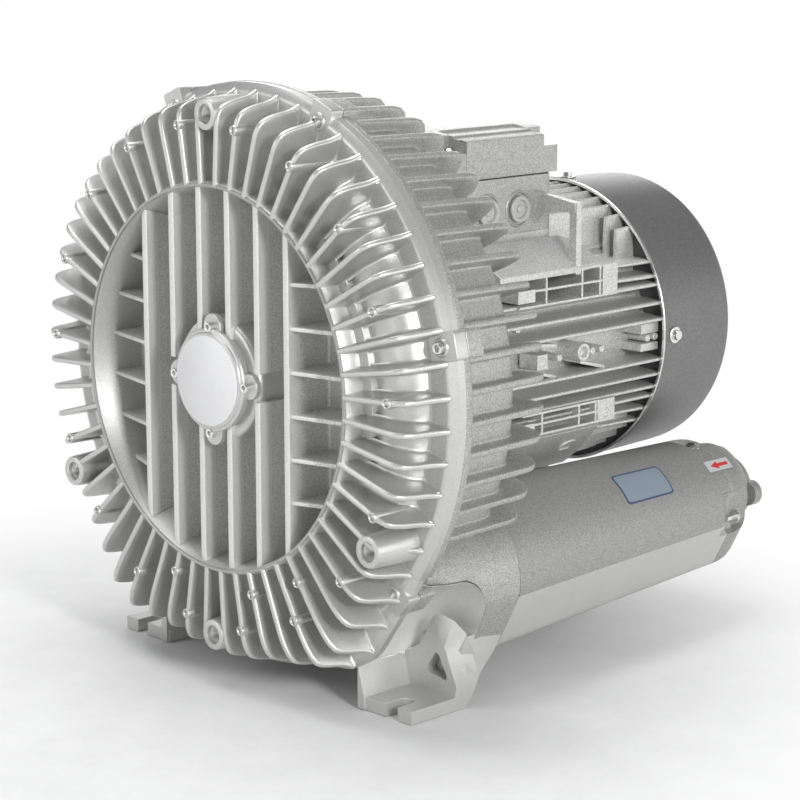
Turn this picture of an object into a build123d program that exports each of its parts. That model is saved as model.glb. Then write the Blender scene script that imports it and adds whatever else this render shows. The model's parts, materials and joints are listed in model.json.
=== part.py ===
from build123d import *
import math
import os

# Side channel blower, built round its shaft.
# While a piece is made, the shaft runs along +Y through the origin, +Z is up and y = 0 is the
# front lip of the cover. At the end every piece is moved so that the origin lies on the ground
# between the two front foot slots. Lengths are millimetres and angles are degrees.

# Overall stance
SHAFT_HEIGHT = 297.0
JOINT_Y = 62.0
MOTOR_FACE_Y = 190.0

# Side channel and impeller
CHANNEL_RADIUS = 206.0
CHANNEL_BORE = 30.0
CASTING_WALL = 7.0
IMPELLER_GAP = 1.0
IMPELLER_WIDTH = 48.0
BLADE_COUNT = 40
BLADE_THICKNESS = 3.0
STRIPPER_HALF_ANGLE = 18.0
PORT_ANGLE = 142.0
PORT_DUCT_WIDTH = 52.0

# Front cover
RECESS_RADIUS = 179.0
RECESS_FLOOR_RADIUS = 168.0
RECESS_FLOOR_Y = 54.0
LIP_WIDTH = 4.0
FLANGE_RADIUS = 271.0
FLANGE_FRONT_Y = 48.0
FLANGE_CHAMFER = 6.0
HOUSING_FLANGE_DEPTH = 9.0

# Radial fins of the cover and the housing
FIN_COUNT = 56
FIN_THICKNESS = 5.5
COVER_FIN_TIP = 264.0
COVER_FIN_BEND = 238.0
SHELL_RADIUS = 243.0
HOUSING_FIN_TIP = 259.0
HOUSING_FIN_REAR_TIP = 256.0
HOUSING_FIN_REAR_Y = 188.0
NECK_RADIUS = 118.0
FIN_ROUND = 15.0

# Fins in the recess of the cover
RECESS_FIN_PITCH = 40.0
RECESS_FIN_THICKNESS = 6.0
RECESS_CROSS_FIN_THICKNESS = 4.0
RECESS_FIN_FRONT_Y = 5.0
RECESS_FIN_WALL_Y = 24.0

# Bosses on the cover
THREADED_BOSS_PLACES = (0.0, 120.0, 180.0, 240.0)
THREADED_BOSS_RING = 245.0
THREADED_BOSS_RADIUS = 15.0
THREAD_M12_RADIUS = 5.1
THREAD_M12_DEPTH = 24.0
SMALL_BOSS_STEPS = (1.5, 4.5, 7.5, 10.5, 13.5, 17.5, 20.5, 23.5, 26.5)
SMALL_BOSS_RING = 236.0
SMALL_BOSS_RADIUS = 5.5
BOSS_FRONT_Y = -1.0

# Flange lugs and their screws
LUG_ANGLES = (22.5, 77.1, 131.8, 228.2, 282.9, 337.5)
LUG_RING = 266.0
LUG_HALF_WIDTH = 13.0
LUG_REACH = 281.0
COVER_LUG_DEPTH = 15.0
HOUSING_LUG_DEPTH = 22.0
M8_RADIUS = 4.0
M8_HEAD_RADIUS = 6.5
M8_HEAD_LENGTH = 8.0
M8_SOCKET_RADIUS = 3.2
M8_SOCKET_DEPTH = 4.0
SCREW_CLEARANCE = 0.4

# Hub in the middle of the cover
HUB_RADIUS = 58.0
HUB_FRONT_Y = 10.0
HUB_CAP_RADIUS = 45.0
HUB_CAP_FRONT_Y = -2.0
HUB_SCREW_RING = 50.0
HUB_LOBE_RADIUS = 12.0
HUB_DISC_RADIUS = 42.0
HUB_DISC_THICKNESS = 2.5
M6_RADIUS = 3.0
M6_HEAD_RADIUS = 5.0
M6_HEAD_LENGTH = 6.0
M6_SOCKET_RADIUS = 2.5
M6_SOCKET_DEPTH = 3.0

# Deep groove ball bearings: bore, outer radius, width and number of balls
FRONT_BEARING = (17.5, 36.0, 17.0, 8)
DRIVE_BEARING = (27.5, 50.0, 21.0, 10)
REAR_BEARING = (20.0, 40.0, 18.0, 8)
BALL_CLEARANCE = 0.12
CAGE_HALF_THICKNESS = 1.2
CAGE_EDGE = 1.5
WAVE_SPRING_DEPTH = 3.0
SEAL_RADIUS = 34.0
FRONT_BEARING_Y = 14.0
DRIVE_BEARING_Y = 152.0
REAR_BEARING_Y = 466.0

# Shaft seals
SEAL_LIP_GAP = 0.2
DRIVE_SEAL_RADIUS = 42.0
FRONT_SEAL_Y = (48.0, 56.0)
DRIVE_SEAL_Y = (120.0, 132.0)

# Shaft and rotor
SHAFT_FRONT_Y = 13.0
SHAFT_REAR_Y = 556.0
ROTOR_SEAT_REAR_Y = 436.0
BEARING_SHOULDER_RADIUS = 25.0
IMPELLER_SEAT_RADIUS = 21.0
KEY_HALF = 5.0
SHAFT_SHOULDER_Y = 140.0
ROTOR_SEAT_RADIUS = 31.0
FAN_SEAT_RADIUS = 18.0
ROTOR_RADIUS = 66.0
AIR_GAP = 0.7
STACK_Y = 262.0
STACK_LENGTH = 140.0
END_RING_LENGTH = 14.0
WINDING_LENGTH = 30.0
STATOR_RADIUS = 105.0

# Motor frame
FRAME_WALL = 8.0
FRAME_REAR_Y = 478.0
FRAME_FLANGE_RADIUS = 132.0
FRAME_FLANGE_DEPTH = 14.0
FRAME_SCREW_RING = 123.0
FRAME_SCREW_ANGLES = (22.5, 67.5, 112.5, 157.5, 202.5, 247.5, 292.5, 337.5)
SIDE_FIN_LEVELS = (-92.0, -80.0, -33.0, -20.0, 20.0, 33.0, 45.0)
TOP_FIN_PITCH = 14.0
TOP_FIN_COUNT = 15
SIDE_FIN_REACH = 146.0
SIDE_FIN_REAR_REACH = 141.0
MOTOR_FIN_THICKNESS = 4.0
PAD_REACH = 141.0
UPPER_PAD_LEVELS = (52.0, 84.0)
LOWER_PAD_LEVELS = (-70.0, -44.0)
PAD_Y = (268.0, 408.0)
PAD_STRIP = 4.0
PAD_BLOCK = 22.0
PAD_CELLS = 3
SIDE_BOSS_Y = (298.0, 356.0)
SIDE_BOSS_RADIUS = 9.0
SIDE_BOSS_REACH = 140.0
UPRIGHT_FIN_REACH = 144.0
UPRIGHT_FIN_Y = 380.0
LUG_POST_X = 136.0
LUG_POST_Y = 353.0
LUG_POST_DEPTH = 12.0
LUG_POST_TOP_Z = 149.0

# Rear end shield, fan and fan cover
FAN_COVER_RADIUS = 149.0
FAN_COVER_FRONT_Y = 476.0
FAN_COVER_REAR_Y = 589.0
FAN_COVER_SHEET = 2.0
FAN_COVER_ROUND = 14.0
FAN_SCREW_Y = 492.0
FAN_COVER_SCREW_ANGLES = (0.0, 90.0, 180.0, 270.0)
SHIELD_SCREW_ANGLES = (45.0, 135.0, 225.0, 315.0)
GRILLE_INNER = 24.0
GRILLE_SLOT = 8.0
GRILLE_BAR = 5.0
GRILLE_SPOKES = 8
FAN_RADIUS = 118.0
FAN_BLADES = 7
FAN_Y = 504.0
FAN_LENGTH = 42.0

# Terminal box
BOX_Y = (226.0, 374.0)
BOX_HALF_WIDTH = 85.0
BOX_FLOOR_Z = 114.0
BOX_SEAM_Z = 170.0
BOX_WALL = 4.0
LID_SCREW_INSET = 12.0
LID_SCREW_BOSS = 9.5
LID_HALF_WIDTH = 90.0
LID_OVERHANG = 2.0
LID_SHOULDER_Z = 198.0
LID_TOP_Z = 217.0
LID_STEPS = ((90.0, 198.0), (71.0, 207.0), (60.0, 212.0), (49.0, 217.0))
GASKET_THICKNESS = 1.5
PLUG_PLACES = (281.0, 325.0)
PLUG_Z = 138.0
PLUG_RADIUS = 12.5
PLUG_HEAD_RADIUS = 15.5
CABLE_HOLE_RADIUS = 18.0

# Silencers: section points of the right one at its front, (x, z) from the shaft
SILENCER_X = 150.0
SILENCER_HALF_WIDTH = 76.0
SILENCER_TOP_Z = -108.0
SILENCER_RIDGE_Z = -196.0
SILENCER_BOTTOM_Z = -254.0
SILENCER_FRONT_Y = 180.0
SILENCER_REAR_Y = 512.0
SILENCER_TAPER = 0.863
SILENCER_TAPER_Z = -152.0
SILENCER_WALL = 5.0
END_CAP_DEPTH = 44.0
PORT_Z = -174.0
PORT_RADIUS = 28.3
PORT_BOSS_RADIUS = 35.0
PORT_LOBE_X = 36.0
PORT_LOBE_RADIUS = 13.0
PORT_FLANGE_DEPTH = 12.0
PORT_REAR_Y = 582.0
FOAM_THICKNESS = 14.0
FOAM_GAP = 0.3
END_SCREW_PLACES = ((150.0, -125.0), (206.0, -186.0), (94.0, -186.0), (150.0, -229.0))
END_SCREW_BOSS = 9.0
END_BOSS_DEPTH = 22.0

# Feet
FOOT_INNER_X = 139.0
FOOT_OUTER_X = 208.0
FOOT_FRONT_Y = 58.0
FOOT_REAR_Y = 130.0
FOOT_PLATE = 13.0
FOOT_WEB = 9.0
FOOT_SLOT_X = 182.0
FOOT_SLOT_WIDTH = 15.0
FOOT_SLOT_DEPTH = 26.0
REAR_FOOT_Y = 430.0
REAR_FOOT_HALF_WIDTH = 60.0
REAR_FOOT_LENGTH = 56.0
REAR_FOOT_SLOT_X = 42.0
REAR_FOOT_LEG = 12.0
REAR_FOOT_PAD = 34.0
REAR_FOOT_PAD_Y = (404.0, 456.0)
REAR_FOOT_TOP_Z = -126.0
REAR_FOOT_BOLT_X = 21.0
REAR_FOOT_BOLT_Y = 15.0
REAR_SLOT_LENGTH = 24.0

# Alignment of holes and bosses that start at their seat
START = (Align.CENTER, Align.CENTER, Align.MIN)

# Values worked out from the ones above
FRONT_SHOULDER_Y = FRONT_BEARING_Y + FRONT_BEARING[2]
IMPELLER_RADIUS = CHANNEL_RADIUS + CHANNEL_BORE
IMPELLER_Y = JOINT_Y + IMPELLER_GAP
REAR_RACE_Y = IMPELLER_Y + IMPELLER_WIDTH + IMPELLER_GAP
FIN_PITCH = 360.0 / FIN_COUNT
FRAME_RADIUS = STATOR_RADIUS + FRAME_WALL
FOOT_SLOT_Y = FOOT_FRONT_Y + FOOT_SLOT_DEPTH - FOOT_SLOT_WIDTH / 2


def outline(start, *steps):
    """Closed face in the XY plane. A step is an end point, or (through, end) for an arc."""
    edges = []
    here = start
    for step in steps:
        if isinstance(step[0], tuple):
            through, there = step
            edges.append(ThreePointArc(here, through, there))
        else:
            there = step
            edges.append(Line(here, there))
        here = there
    if here != start:
        edges.append(Line(here, start))
    return make_face(edges)


def lathe(face):
    """Solid of revolution about the shaft from a face whose x is the radius and y the shaft."""
    return revolve(face, axis=Axis.Y, revolution_arc=360)


def clocked(angle, shape):
    """Shape drawn at +X, turned to a clock angle seen from the front, 0 at the top."""
    return Rot(0, angle - 90, 0) * shape


def slab(x, y, z):
    """Box between two values on each axis."""
    size = (x[1] - x[0], y[1] - y[0], z[1] - z[0])
    centre = ((x[0] + x[1]) / 2, (y[0] + y[1]) / 2, (z[0] + z[1]) / 2)
    return Pos(*centre) * Box(*size)


def rod(radius, y_front, y_rear, x=0.0, z=0.0):
    """Cylinder along the shaft direction."""
    length = y_rear - y_front
    return Pos(x, (y_front + y_rear) / 2, z) * Rot(90, 0, 0) * Cylinder(radius, length)


def cone_rod(radius_front, radius_rear, y_front, y_rear, x=0.0, z=0.0):
    """Cone along the shaft direction."""
    length = y_rear - y_front
    return Pos(x, (y_front + y_rear) / 2, z) * Rot(-90, 0, 0) * Cone(radius_front, radius_rear, length)


def tube(outer, inner, y_front, y_rear, x=0.0, z=0.0):
    """Round tube along the shaft direction."""
    return rod(outer, y_front, y_rear, x, z) - rod(inner, y_front - 1, y_rear + 1, x, z)


def prism_along_y(points, y_front, y_rear):
    """Polygon of (x, z) points carried along the shaft direction."""
    face = make_face(Polyline(*[(x, 0, z) for x, z in points], close=True))
    return Pos(0, y_front, 0) * extrude(face, amount=y_rear - y_front, dir=(0, 1, 0))


def prism_along_x(points, x_left, x_right):
    """Polygon of (y, z) points carried across the machine."""
    face = make_face(Polyline(*[(0, y, z) for y, z in points], close=True))
    return Pos(x_left, 0, 0) * extrude(face, amount=x_right - x_left, dir=(1, 0, 0))


def mirrored(shape):
    """Copy of a right-hand piece for the left side."""
    return mirror(shape, about=Plane.YZ)


def cap_screw(radius, head_radius, head_length, socket, y_seat, length, x, z):
    """Socket head screw whose head stands in front of its seat and points to the front."""
    socket_radius, socket_depth = socket
    screw = rod(radius, y_seat - 1, y_seat + length, x, z)
    screw += rod(head_radius, y_seat - head_length, y_seat, x, z)
    socket_face = Pos(x, y_seat - head_length, z) * Rot(90, 0, 0) * RegularPolygon(socket_radius, 6)
    return screw - extrude(socket_face, amount=socket_depth, dir=(0, 1, 0))


def ring_places(radius, angles):
    """Places (x, z) on a circle about the shaft at clock angles."""
    return [(radius * math.sin(math.radians(a)), radius * math.cos(math.radians(a))) for a in angles]


def channel_ring(y_centre, angle_from, angle_to, sign):
    """Half-round channel space on one side of the impeller, over part of the turn."""
    face = outline((CHANNEL_RADIUS - CHANNEL_BORE, 0),
                   ((CHANNEL_RADIUS, sign * CHANNEL_BORE), (CHANNEL_RADIUS + CHANNEL_BORE, 0)))
    turn = revolve(face, axis=Axis.Y, revolution_arc=angle_to - angle_from)
    return Pos(0, y_centre, 0) * Rot(0, angle_from - 90, 0) * turn


def cover_fin():
    """Cover fin: straight from the lip, then a soft bend back to the flange."""
    root_y = FLANGE_FRONT_Y + 4
    face = outline((RECESS_RADIUS + 1, 0.5), (COVER_FIN_BEND, 0.5),
                   ((COVER_FIN_BEND + 15, 7), (COVER_FIN_BEND + 21, 22)),
                   ((COVER_FIN_TIP - 3, 37), (COVER_FIN_TIP, FLANGE_FRONT_Y)),
                   (COVER_FIN_TIP, root_y), (RECESS_RADIUS + 1, root_y))
    return extrude(face, amount=FIN_THICKNESS / 2, both=True)


def cover_shell():
    """Cover casting without fins: recess, lip, channel bulge and flange."""
    bulge = CHANNEL_BORE + CASTING_WALL
    crest_y = JOINT_Y - bulge
    skirt = math.sqrt(bulge ** 2 - (JOINT_Y - FLANGE_FRONT_Y) ** 2)
    half = bulge * math.sqrt(0.5)
    lip_outer = RECESS_RADIUS + LIP_WIDTH
    face = outline((0, JOINT_Y), (0, RECESS_FLOOR_Y), (RECESS_FLOOR_RADIUS, RECESS_FLOOR_Y),
                   (RECESS_RADIUS, 0), (lip_outer, 0), (lip_outer + 3, crest_y + 5),
                   (CHANNEL_RADIUS, crest_y),
                   ((CHANNEL_RADIUS + half, JOINT_Y - half), (CHANNEL_RADIUS + skirt, FLANGE_FRONT_Y)),
                   (FLANGE_RADIUS - FLANGE_CHAMFER, FLANGE_FRONT_Y),
                   (FLANGE_RADIUS, FLANGE_FRONT_Y + FLANGE_CHAMFER), (FLANGE_RADIUS, JOINT_Y))
    return lathe(face)


def recess_fins():
    """Upright and level cooling fins that stand on the recess floor."""
    reach = RECESS_RADIUS + 2
    front = RECESS_FIN_FRONT_Y
    blank = lathe(outline((0, RECESS_FLOOR_Y + 1), (0, front), (RECESS_RADIUS + 0.5, front),
                          (RECESS_FLOOR_RADIUS + 2.5, RECESS_FLOOR_Y + 1)))
    half = RECESS_FIN_THICKNESS / 2
    places = [RECESS_FIN_PITCH * (k + 0.5) for k in range(-3, 3)]
    fins = [slab((x - half, x + half), (front, RECESS_FLOOR_Y + 1), (-reach, reach)) for x in places]
    cross = RECESS_CROSS_FIN_THICKNESS / 2
    edge = places[-1]
    slope = [(edge, front + 2), (reach, RECESS_FIN_WALL_Y), (reach, RECESS_FLOOR_Y + 1),
             (edge, RECESS_FLOOR_Y + 1)]
    side_face = make_face(Polyline(*slope, close=True))
    for z in places:
        plate = Pos(0, 0, z) * extrude(side_face, amount=cross, both=True)
        fins += [plate, mirrored(plate)]
    return [fin & blank for fin in fins]


def hub_outline(radius, lobe_radius, y_front, y_rear):
    """Round pad with four lobes round the hub screws."""
    pad = rod(radius, y_front, y_rear)
    for x, z in ring_places(HUB_SCREW_RING, (0, 90, 180, 270)):
        pad += rod(lobe_radius, y_front, y_rear, x, z)
    return pad


def lug_block(y_front, y_rear):
    """Square lug for one flange screw, at +X."""
    return slab((SHELL_RADIUS + 4, LUG_REACH), (y_front, y_rear), (-LUG_HALF_WIDTH, LUG_HALF_WIDTH))


def small_boss_places():
    """Places of the small round bosses that stand on fins, on both sides."""
    angles = [sign * step * FIN_PITCH for step in SMALL_BOSS_STEPS for sign in (1, -1)]
    return ring_places(SMALL_BOSS_RING, angles)


def front_cover():
    """Finned front cover with half of the side channel and the seat of the front bearing."""
    body = cover_shell()
    fins = [clocked((k + 0.5) * FIN_PITCH, cover_fin()) for k in range(FIN_COUNT)]
    lugs = [clocked(a, lug_block(JOINT_Y - COVER_LUG_DEPTH, JOINT_Y)) for a in LUG_ANGLES]
    threaded = ring_places(THREADED_BOSS_RING, THREADED_BOSS_PLACES)
    bosses = [rod(THREADED_BOSS_RADIUS, BOSS_FRONT_Y, JOINT_Y - 4, x, z) for x, z in threaded]
    bosses += [rod(SMALL_BOSS_RADIUS, BOSS_FRONT_Y, JOINT_Y - CHANNEL_BORE, x, z)
               for x, z in small_boss_places()]
    body = body.fuse(*fins, *lugs, *bosses, *recess_fins())
    body += cone_rod(HUB_RADIUS, HUB_RADIUS + 5, HUB_FRONT_Y, RECESS_FLOOR_Y + 1)
    cap_room = hub_outline(HUB_CAP_RADIUS + 1, HUB_LOBE_RADIUS + 1, -1, HUB_FRONT_Y)
    body -= cap_room
    body -= channel_ring(JOINT_Y, STRIPPER_HALF_ANGLE - 180, 180 - STRIPPER_HALF_ANGLE, -1)
    bearing_bore, bearing_radius, bearing_width, _ = FRONT_BEARING
    bearing_rear = FRONT_BEARING_Y + bearing_width
    body -= rod(bearing_radius, HUB_FRONT_Y - 1, bearing_rear + WAVE_SPRING_DEPTH)
    body -= rod(SEAL_RADIUS, bearing_rear, JOINT_Y + 1)
    for x, z in threaded:
        body -= rod(THREAD_M12_RADIUS, BOSS_FRONT_Y - 1, BOSS_FRONT_Y + THREAD_M12_DEPTH, x, z)
        body -= cone_rod(THREAD_M12_RADIUS + 5, THREAD_M12_RADIUS, BOSS_FRONT_Y, BOSS_FRONT_Y + 5, x, z)
    for x, z in ring_places(LUG_RING, LUG_ANGLES):
        body -= rod(M8_RADIUS + SCREW_CLEARANCE, 0, JOINT_Y + 1, x, z)
        body -= rod(M8_HEAD_RADIUS + 1.5, 0, JOINT_Y - COVER_LUG_DEPTH, x, z)
    for x, z in ring_places(HUB_SCREW_RING, (0, 90, 180, 270)):
        body -= rod(M6_RADIUS, HUB_FRONT_Y - 1, HUB_FRONT_Y + 14, x, z)
    return body


def hub_cap():
    """Front bearing cap: lobed plate with a spigot that holds the bearing."""
    cap = hub_outline(HUB_CAP_RADIUS, HUB_LOBE_RADIUS, HUB_CAP_FRONT_Y + 5, HUB_FRONT_Y)
    cap += rod(HUB_CAP_RADIUS, HUB_CAP_FRONT_Y, HUB_CAP_FRONT_Y + 6)
    cap += rod(FRONT_BEARING[1] - 0.5, HUB_FRONT_Y - 1, FRONT_BEARING_Y)
    cap -= rod(FRONT_BEARING[1] - 5, HUB_CAP_FRONT_Y + 4, FRONT_BEARING_Y + 1)
    for x, z in ring_places(HUB_SCREW_RING, (0, 90, 180, 270)):
        cap -= rod(M6_RADIUS + SCREW_CLEARANCE, HUB_CAP_FRONT_Y, HUB_FRONT_Y + 1, x, z)
        cap -= rod(M6_HEAD_RADIUS + 1, HUB_CAP_FRONT_Y - 1, HUB_CAP_FRONT_Y + 5, x, z)
    return cap


def hub_cap_screws():
    """Four socket head screws of the bearing cap."""
    socket = (M6_SOCKET_RADIUS, M6_SOCKET_DEPTH)
    places = ring_places(HUB_SCREW_RING, (0, 90, 180, 270))
    seat = HUB_CAP_FRONT_Y + 5
    return [cap_screw(M6_RADIUS, M6_HEAD_RADIUS, M6_HEAD_LENGTH, socket, seat, 18, x, z) for x, z in places]


def hub_disc():
    """Plain round cover disc glued to the bearing cap."""
    front = HUB_CAP_FRONT_Y - HUB_DISC_THICKNESS
    disc = rod(HUB_DISC_RADIUS, front, HUB_CAP_FRONT_Y)
    return chamfer(disc.edges().group_by(Axis.Y)[0], 0.6)


def bearing_rings(bearing, y_front):
    """Outer and inner ring of a ball bearing, each with its ball groove."""
    bore, outer, width, _ = bearing
    pitch, ball = bearing_pitch(bearing)
    middle = y_front + width / 2
    shoulder = ball * 0.62
    half = math.sqrt(ball ** 2 - shoulder ** 2)
    rings = []
    for land, edge, deep in ((pitch + shoulder, outer, pitch + ball), (pitch - shoulder, bore, pitch - ball)):
        rings.append(lathe(outline((land, y_front), (edge, y_front), (edge, y_front + width),
                                   (land, y_front + width), (land, middle + half),
                                   ((deep, middle), (land, middle - half)))))
    return rings


def bearing_pitch(bearing):
    """Pitch radius and groove radius of a ball bearing, from its bore and outer radius."""
    bore, outer, _, _ = bearing
    return (bore + outer) / 2, (outer - bore) * 0.3


def ball_set(bearing, y_front):
    """Balls of a bearing and the cage that spaces them."""
    _, _, width, count = bearing
    pitch, groove = bearing_pitch(bearing)
    radius = groove - BALL_CLEARANCE
    middle = y_front + width / 2
    half = radius + CAGE_EDGE
    cage = tube(pitch + CAGE_HALF_THICKNESS, pitch - CAGE_HALF_THICKNESS, middle - half, middle + half)
    angles = [360.0 / count * k for k in range(count)]
    pocket = Pos(pitch, middle, 0) * Rot(0, 90, 0) * Cylinder(groove, CAGE_HALF_THICKNESS * 4)
    cage = cage.cut(*[clocked(angle, pocket) for angle in angles])
    return [cage] + [Pos(x, middle, z) * Sphere(radius) for x, z in ring_places(pitch, angles)]


def impeller():
    """Impeller with V-shaped blades in pockets on both sides of a thin middle web."""
    middle = IMPELLER_Y + IMPELLER_WIDTH / 2
    rear = IMPELLER_Y + IMPELLER_WIDTH
    root = CHANNEL_RADIUS - CHANNEL_BORE + 1
    web = 1.5
    disc = 5.0
    hub = IMPELLER_SEAT_RADIUS + 17
    face = outline((IMPELLER_SEAT_RADIUS, IMPELLER_Y + 4), (hub, IMPELLER_Y + 4), (hub + 6, middle - disc),
                   (root - 9, middle - disc), (root - 5, IMPELLER_Y), (root, IMPELLER_Y),
                   ((root + 15, middle - 9), (IMPELLER_RADIUS, middle - web)),
                   (IMPELLER_RADIUS, middle + web), ((root + 15, middle + 9), (root, rear)),
                   (root - 5, rear), (root - 9, middle + disc), (hub + 6, middle + disc),
                   (hub, rear - 4), (IMPELLER_SEAT_RADIUS, rear - 4))
    body = lathe(face)
    lean = 7.0
    half = BLADE_THICKNESS / 2
    section = make_face(Polyline((0, IMPELLER_Y, lean - half), (0, IMPELLER_Y, lean + half),
                                 (0, middle, half), (0, rear, lean + half), (0, rear, lean - half),
                                 (0, middle, -half), close=True))
    reach = IMPELLER_RADIUS - root - 0.4
    blade = Pos(root - 1, 0, 0) * extrude(section, amount=reach, dir=(1, 0, 0))
    body = body.fuse(*[clocked(360.0 / BLADE_COUNT * k, blade) for k in range(BLADE_COUNT)])
    keyway = slab((IMPELLER_SEAT_RADIUS - 4, IMPELLER_SEAT_RADIUS + KEY_HALF), (IMPELLER_Y, rear),
                  (-KEY_HALF, KEY_HALF))
    return body - keyway


def impeller_key():
    """Parallel key between shaft and impeller."""
    return slab((IMPELLER_SEAT_RADIUS - KEY_HALF, IMPELLER_SEAT_RADIUS + KEY_HALF - 0.1),
                (IMPELLER_Y + 8, IMPELLER_Y + IMPELLER_WIDTH - 8), (-KEY_HALF, KEY_HALF))


def motor_shaft():
    """Stepped shaft that carries the front bearing, impeller, rotor and fan."""
    steps = ((SHAFT_FRONT_Y, FRONT_BEARING[0]), (FRONT_SHOULDER_Y, IMPELLER_SEAT_RADIUS),
             (SHAFT_SHOULDER_Y, DRIVE_BEARING[0]), (DRIVE_BEARING_Y + DRIVE_BEARING[2], ROTOR_SEAT_RADIUS),
             (ROTOR_SEAT_REAR_Y, BEARING_SHOULDER_RADIUS), (REAR_BEARING_Y, REAR_BEARING[0]),
             (REAR_BEARING_Y + REAR_BEARING[2] + 2, FAN_SEAT_RADIUS))
    ends = [y for y, _ in steps[1:]] + [SHAFT_REAR_Y]
    points = [(0, SHAFT_FRONT_Y)]
    for (y_front, radius), y_rear in zip(steps, ends):
        points += [(radius, y_front), (radius, y_rear)]
    points.append((0, SHAFT_REAR_Y))
    return lathe(outline(*points)) - impeller_key() - rod(M8_RADIUS, SHAFT_FRONT_Y - 1, SHAFT_FRONT_Y + 25)


def shaft_end_washer():
    """Washer that holds the front bearing's inner ring on the shaft."""
    return tube(FRONT_BEARING[0] + 4, M8_RADIUS + SCREW_CLEARANCE, SHAFT_FRONT_Y - 2.5, SHAFT_FRONT_Y)


def shaft_end_screw():
    """Socket head screw in the end of the shaft."""
    socket = (M8_SOCKET_RADIUS, M8_SOCKET_DEPTH)
    return cap_screw(M8_RADIUS, M8_HEAD_RADIUS, M8_HEAD_LENGTH, socket, SHAFT_FRONT_Y - 2.5, 20, 0, 0)


def spacer_sleeves():
    """Spacer sleeves before and behind the impeller hub."""
    front = tube(IMPELLER_SEAT_RADIUS + 5, IMPELLER_SEAT_RADIUS, FRONT_SHOULDER_Y, IMPELLER_Y + 4)
    rear_start = IMPELLER_Y + IMPELLER_WIDTH - 4
    rear = tube(DRIVE_BEARING[0] + 3, IMPELLER_SEAT_RADIUS, rear_start, SHAFT_SHOULDER_Y)
    return [front, rear]


def shaft_seal(inner, outer, y_front, y_rear):
    """Lip seal ring whose lip stands just clear of the shaft."""
    depth = y_rear - y_front
    lip = inner + SEAL_LIP_GAP
    face = outline((lip, y_front + depth * 0.4), (lip + 1.5, y_front + depth * 0.4), (lip + 3, y_front),
                   (outer, y_front), (outer, y_rear), (outer - 2, y_rear), (outer - 2, y_front + 2),
                   (lip + 4, y_front + 2), (lip + 2, y_front + depth * 0.8), (lip, y_front + depth * 0.6))
    return lathe(face)


def duct_section(inset, scale_down=1.0):
    """Section of the right duct and silencer: round on top, three flat sides below."""
    half = SILENCER_HALF_WIDTH - inset
    top = SILENCER_TOP_Z - inset
    bottom = SILENCER_BOTTOM_Z + inset
    base = half * 0.6
    x = SILENCER_X
    points = [(x - base, bottom), (x + base, bottom), (x + half, SILENCER_RIDGE_Z), (x, top),
              (x - half, SILENCER_RIDGE_Z)]
    shrunk = [(x + (a - x) * scale_down, SILENCER_TAPER_Z + (b - SILENCER_TAPER_Z) * scale_down)
              for a, b in points]
    flat = [Vector(a, 0, b) for a, b in shrunk]
    edges = [Line(flat[0], flat[1]), Line(flat[1], flat[2]), ThreePointArc(flat[2], flat[3], flat[4]),
             Line(flat[4], flat[0])]
    return make_face(edges)


def duct_loft(inset, y_front, y_rear, scale_front, scale_rear):
    """Tapered length of the duct section."""
    front = Pos(0, y_front, 0) * duct_section(inset, scale_front)
    rear = Pos(0, y_rear, 0) * duct_section(inset, scale_rear)
    return loft([front, rear])


def foot():
    """Right front foot: plate with an open slot, inner web, rear wall with a three-sided window."""
    top = -SHAFT_HEIGHT + FOOT_PLATE
    plate = slab((FOOT_INNER_X, FOOT_OUTER_X), (FOOT_FRONT_Y, FOOT_REAR_Y), (-SHAFT_HEIGHT, top))
    slot = slab((FOOT_SLOT_X - FOOT_SLOT_WIDTH / 2, FOOT_SLOT_X + FOOT_SLOT_WIDTH / 2),
                (FOOT_FRONT_Y - 1, FOOT_SLOT_Y), (-SHAFT_HEIGHT - 1, top + 1))
    slot += Pos(FOOT_SLOT_X, FOOT_SLOT_Y, -SHAFT_HEIGHT + FOOT_PLATE / 2) * Cylinder(
        FOOT_SLOT_WIDTH / 2, FOOT_PLATE + 2)
    web_top = SILENCER_BOTTOM_Z + 8
    inner = prism_along_x([(FOOT_FRONT_Y, -SHAFT_HEIGHT), (FOOT_REAR_Y, -SHAFT_HEIGHT),
                           (FOOT_REAR_Y, web_top + 20), (FOOT_FRONT_Y + 8, web_top + 20)],
                          FOOT_INNER_X, FOOT_INNER_X + FOOT_WEB)
    lean = 32.0
    wall_top = SILENCER_BOTTOM_Z + 44
    wall = prism_along_y([(FOOT_INNER_X, -SHAFT_HEIGHT), (FOOT_OUTER_X, -SHAFT_HEIGHT),
                          (FOOT_OUTER_X, top + 12), (FOOT_OUTER_X - lean + 6, wall_top),
                          (FOOT_INNER_X, wall_top)], FOOT_REAR_Y - 18, FOOT_REAR_Y)
    window = prism_along_y([(FOOT_SLOT_X - 12, top + 8), (FOOT_SLOT_X + 8, top + 8),
                            (FOOT_SLOT_X - 4, top + 26)], FOOT_REAR_Y - 20, FOOT_REAR_Y + 1)
    return plate + inner + wall - slot - window


def port_duct():
    """Right duct of the housing that leads the channel to the silencer."""
    nose_y = FOOT_FRONT_Y + 8
    body = duct_loft(0, FOOT_REAR_Y - 12, SILENCER_FRONT_Y, 1.0, 1.0)
    nose = duct_loft(0, nose_y, FOOT_REAR_Y - 11, 0.72, 1.0)
    return body + nose


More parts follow.
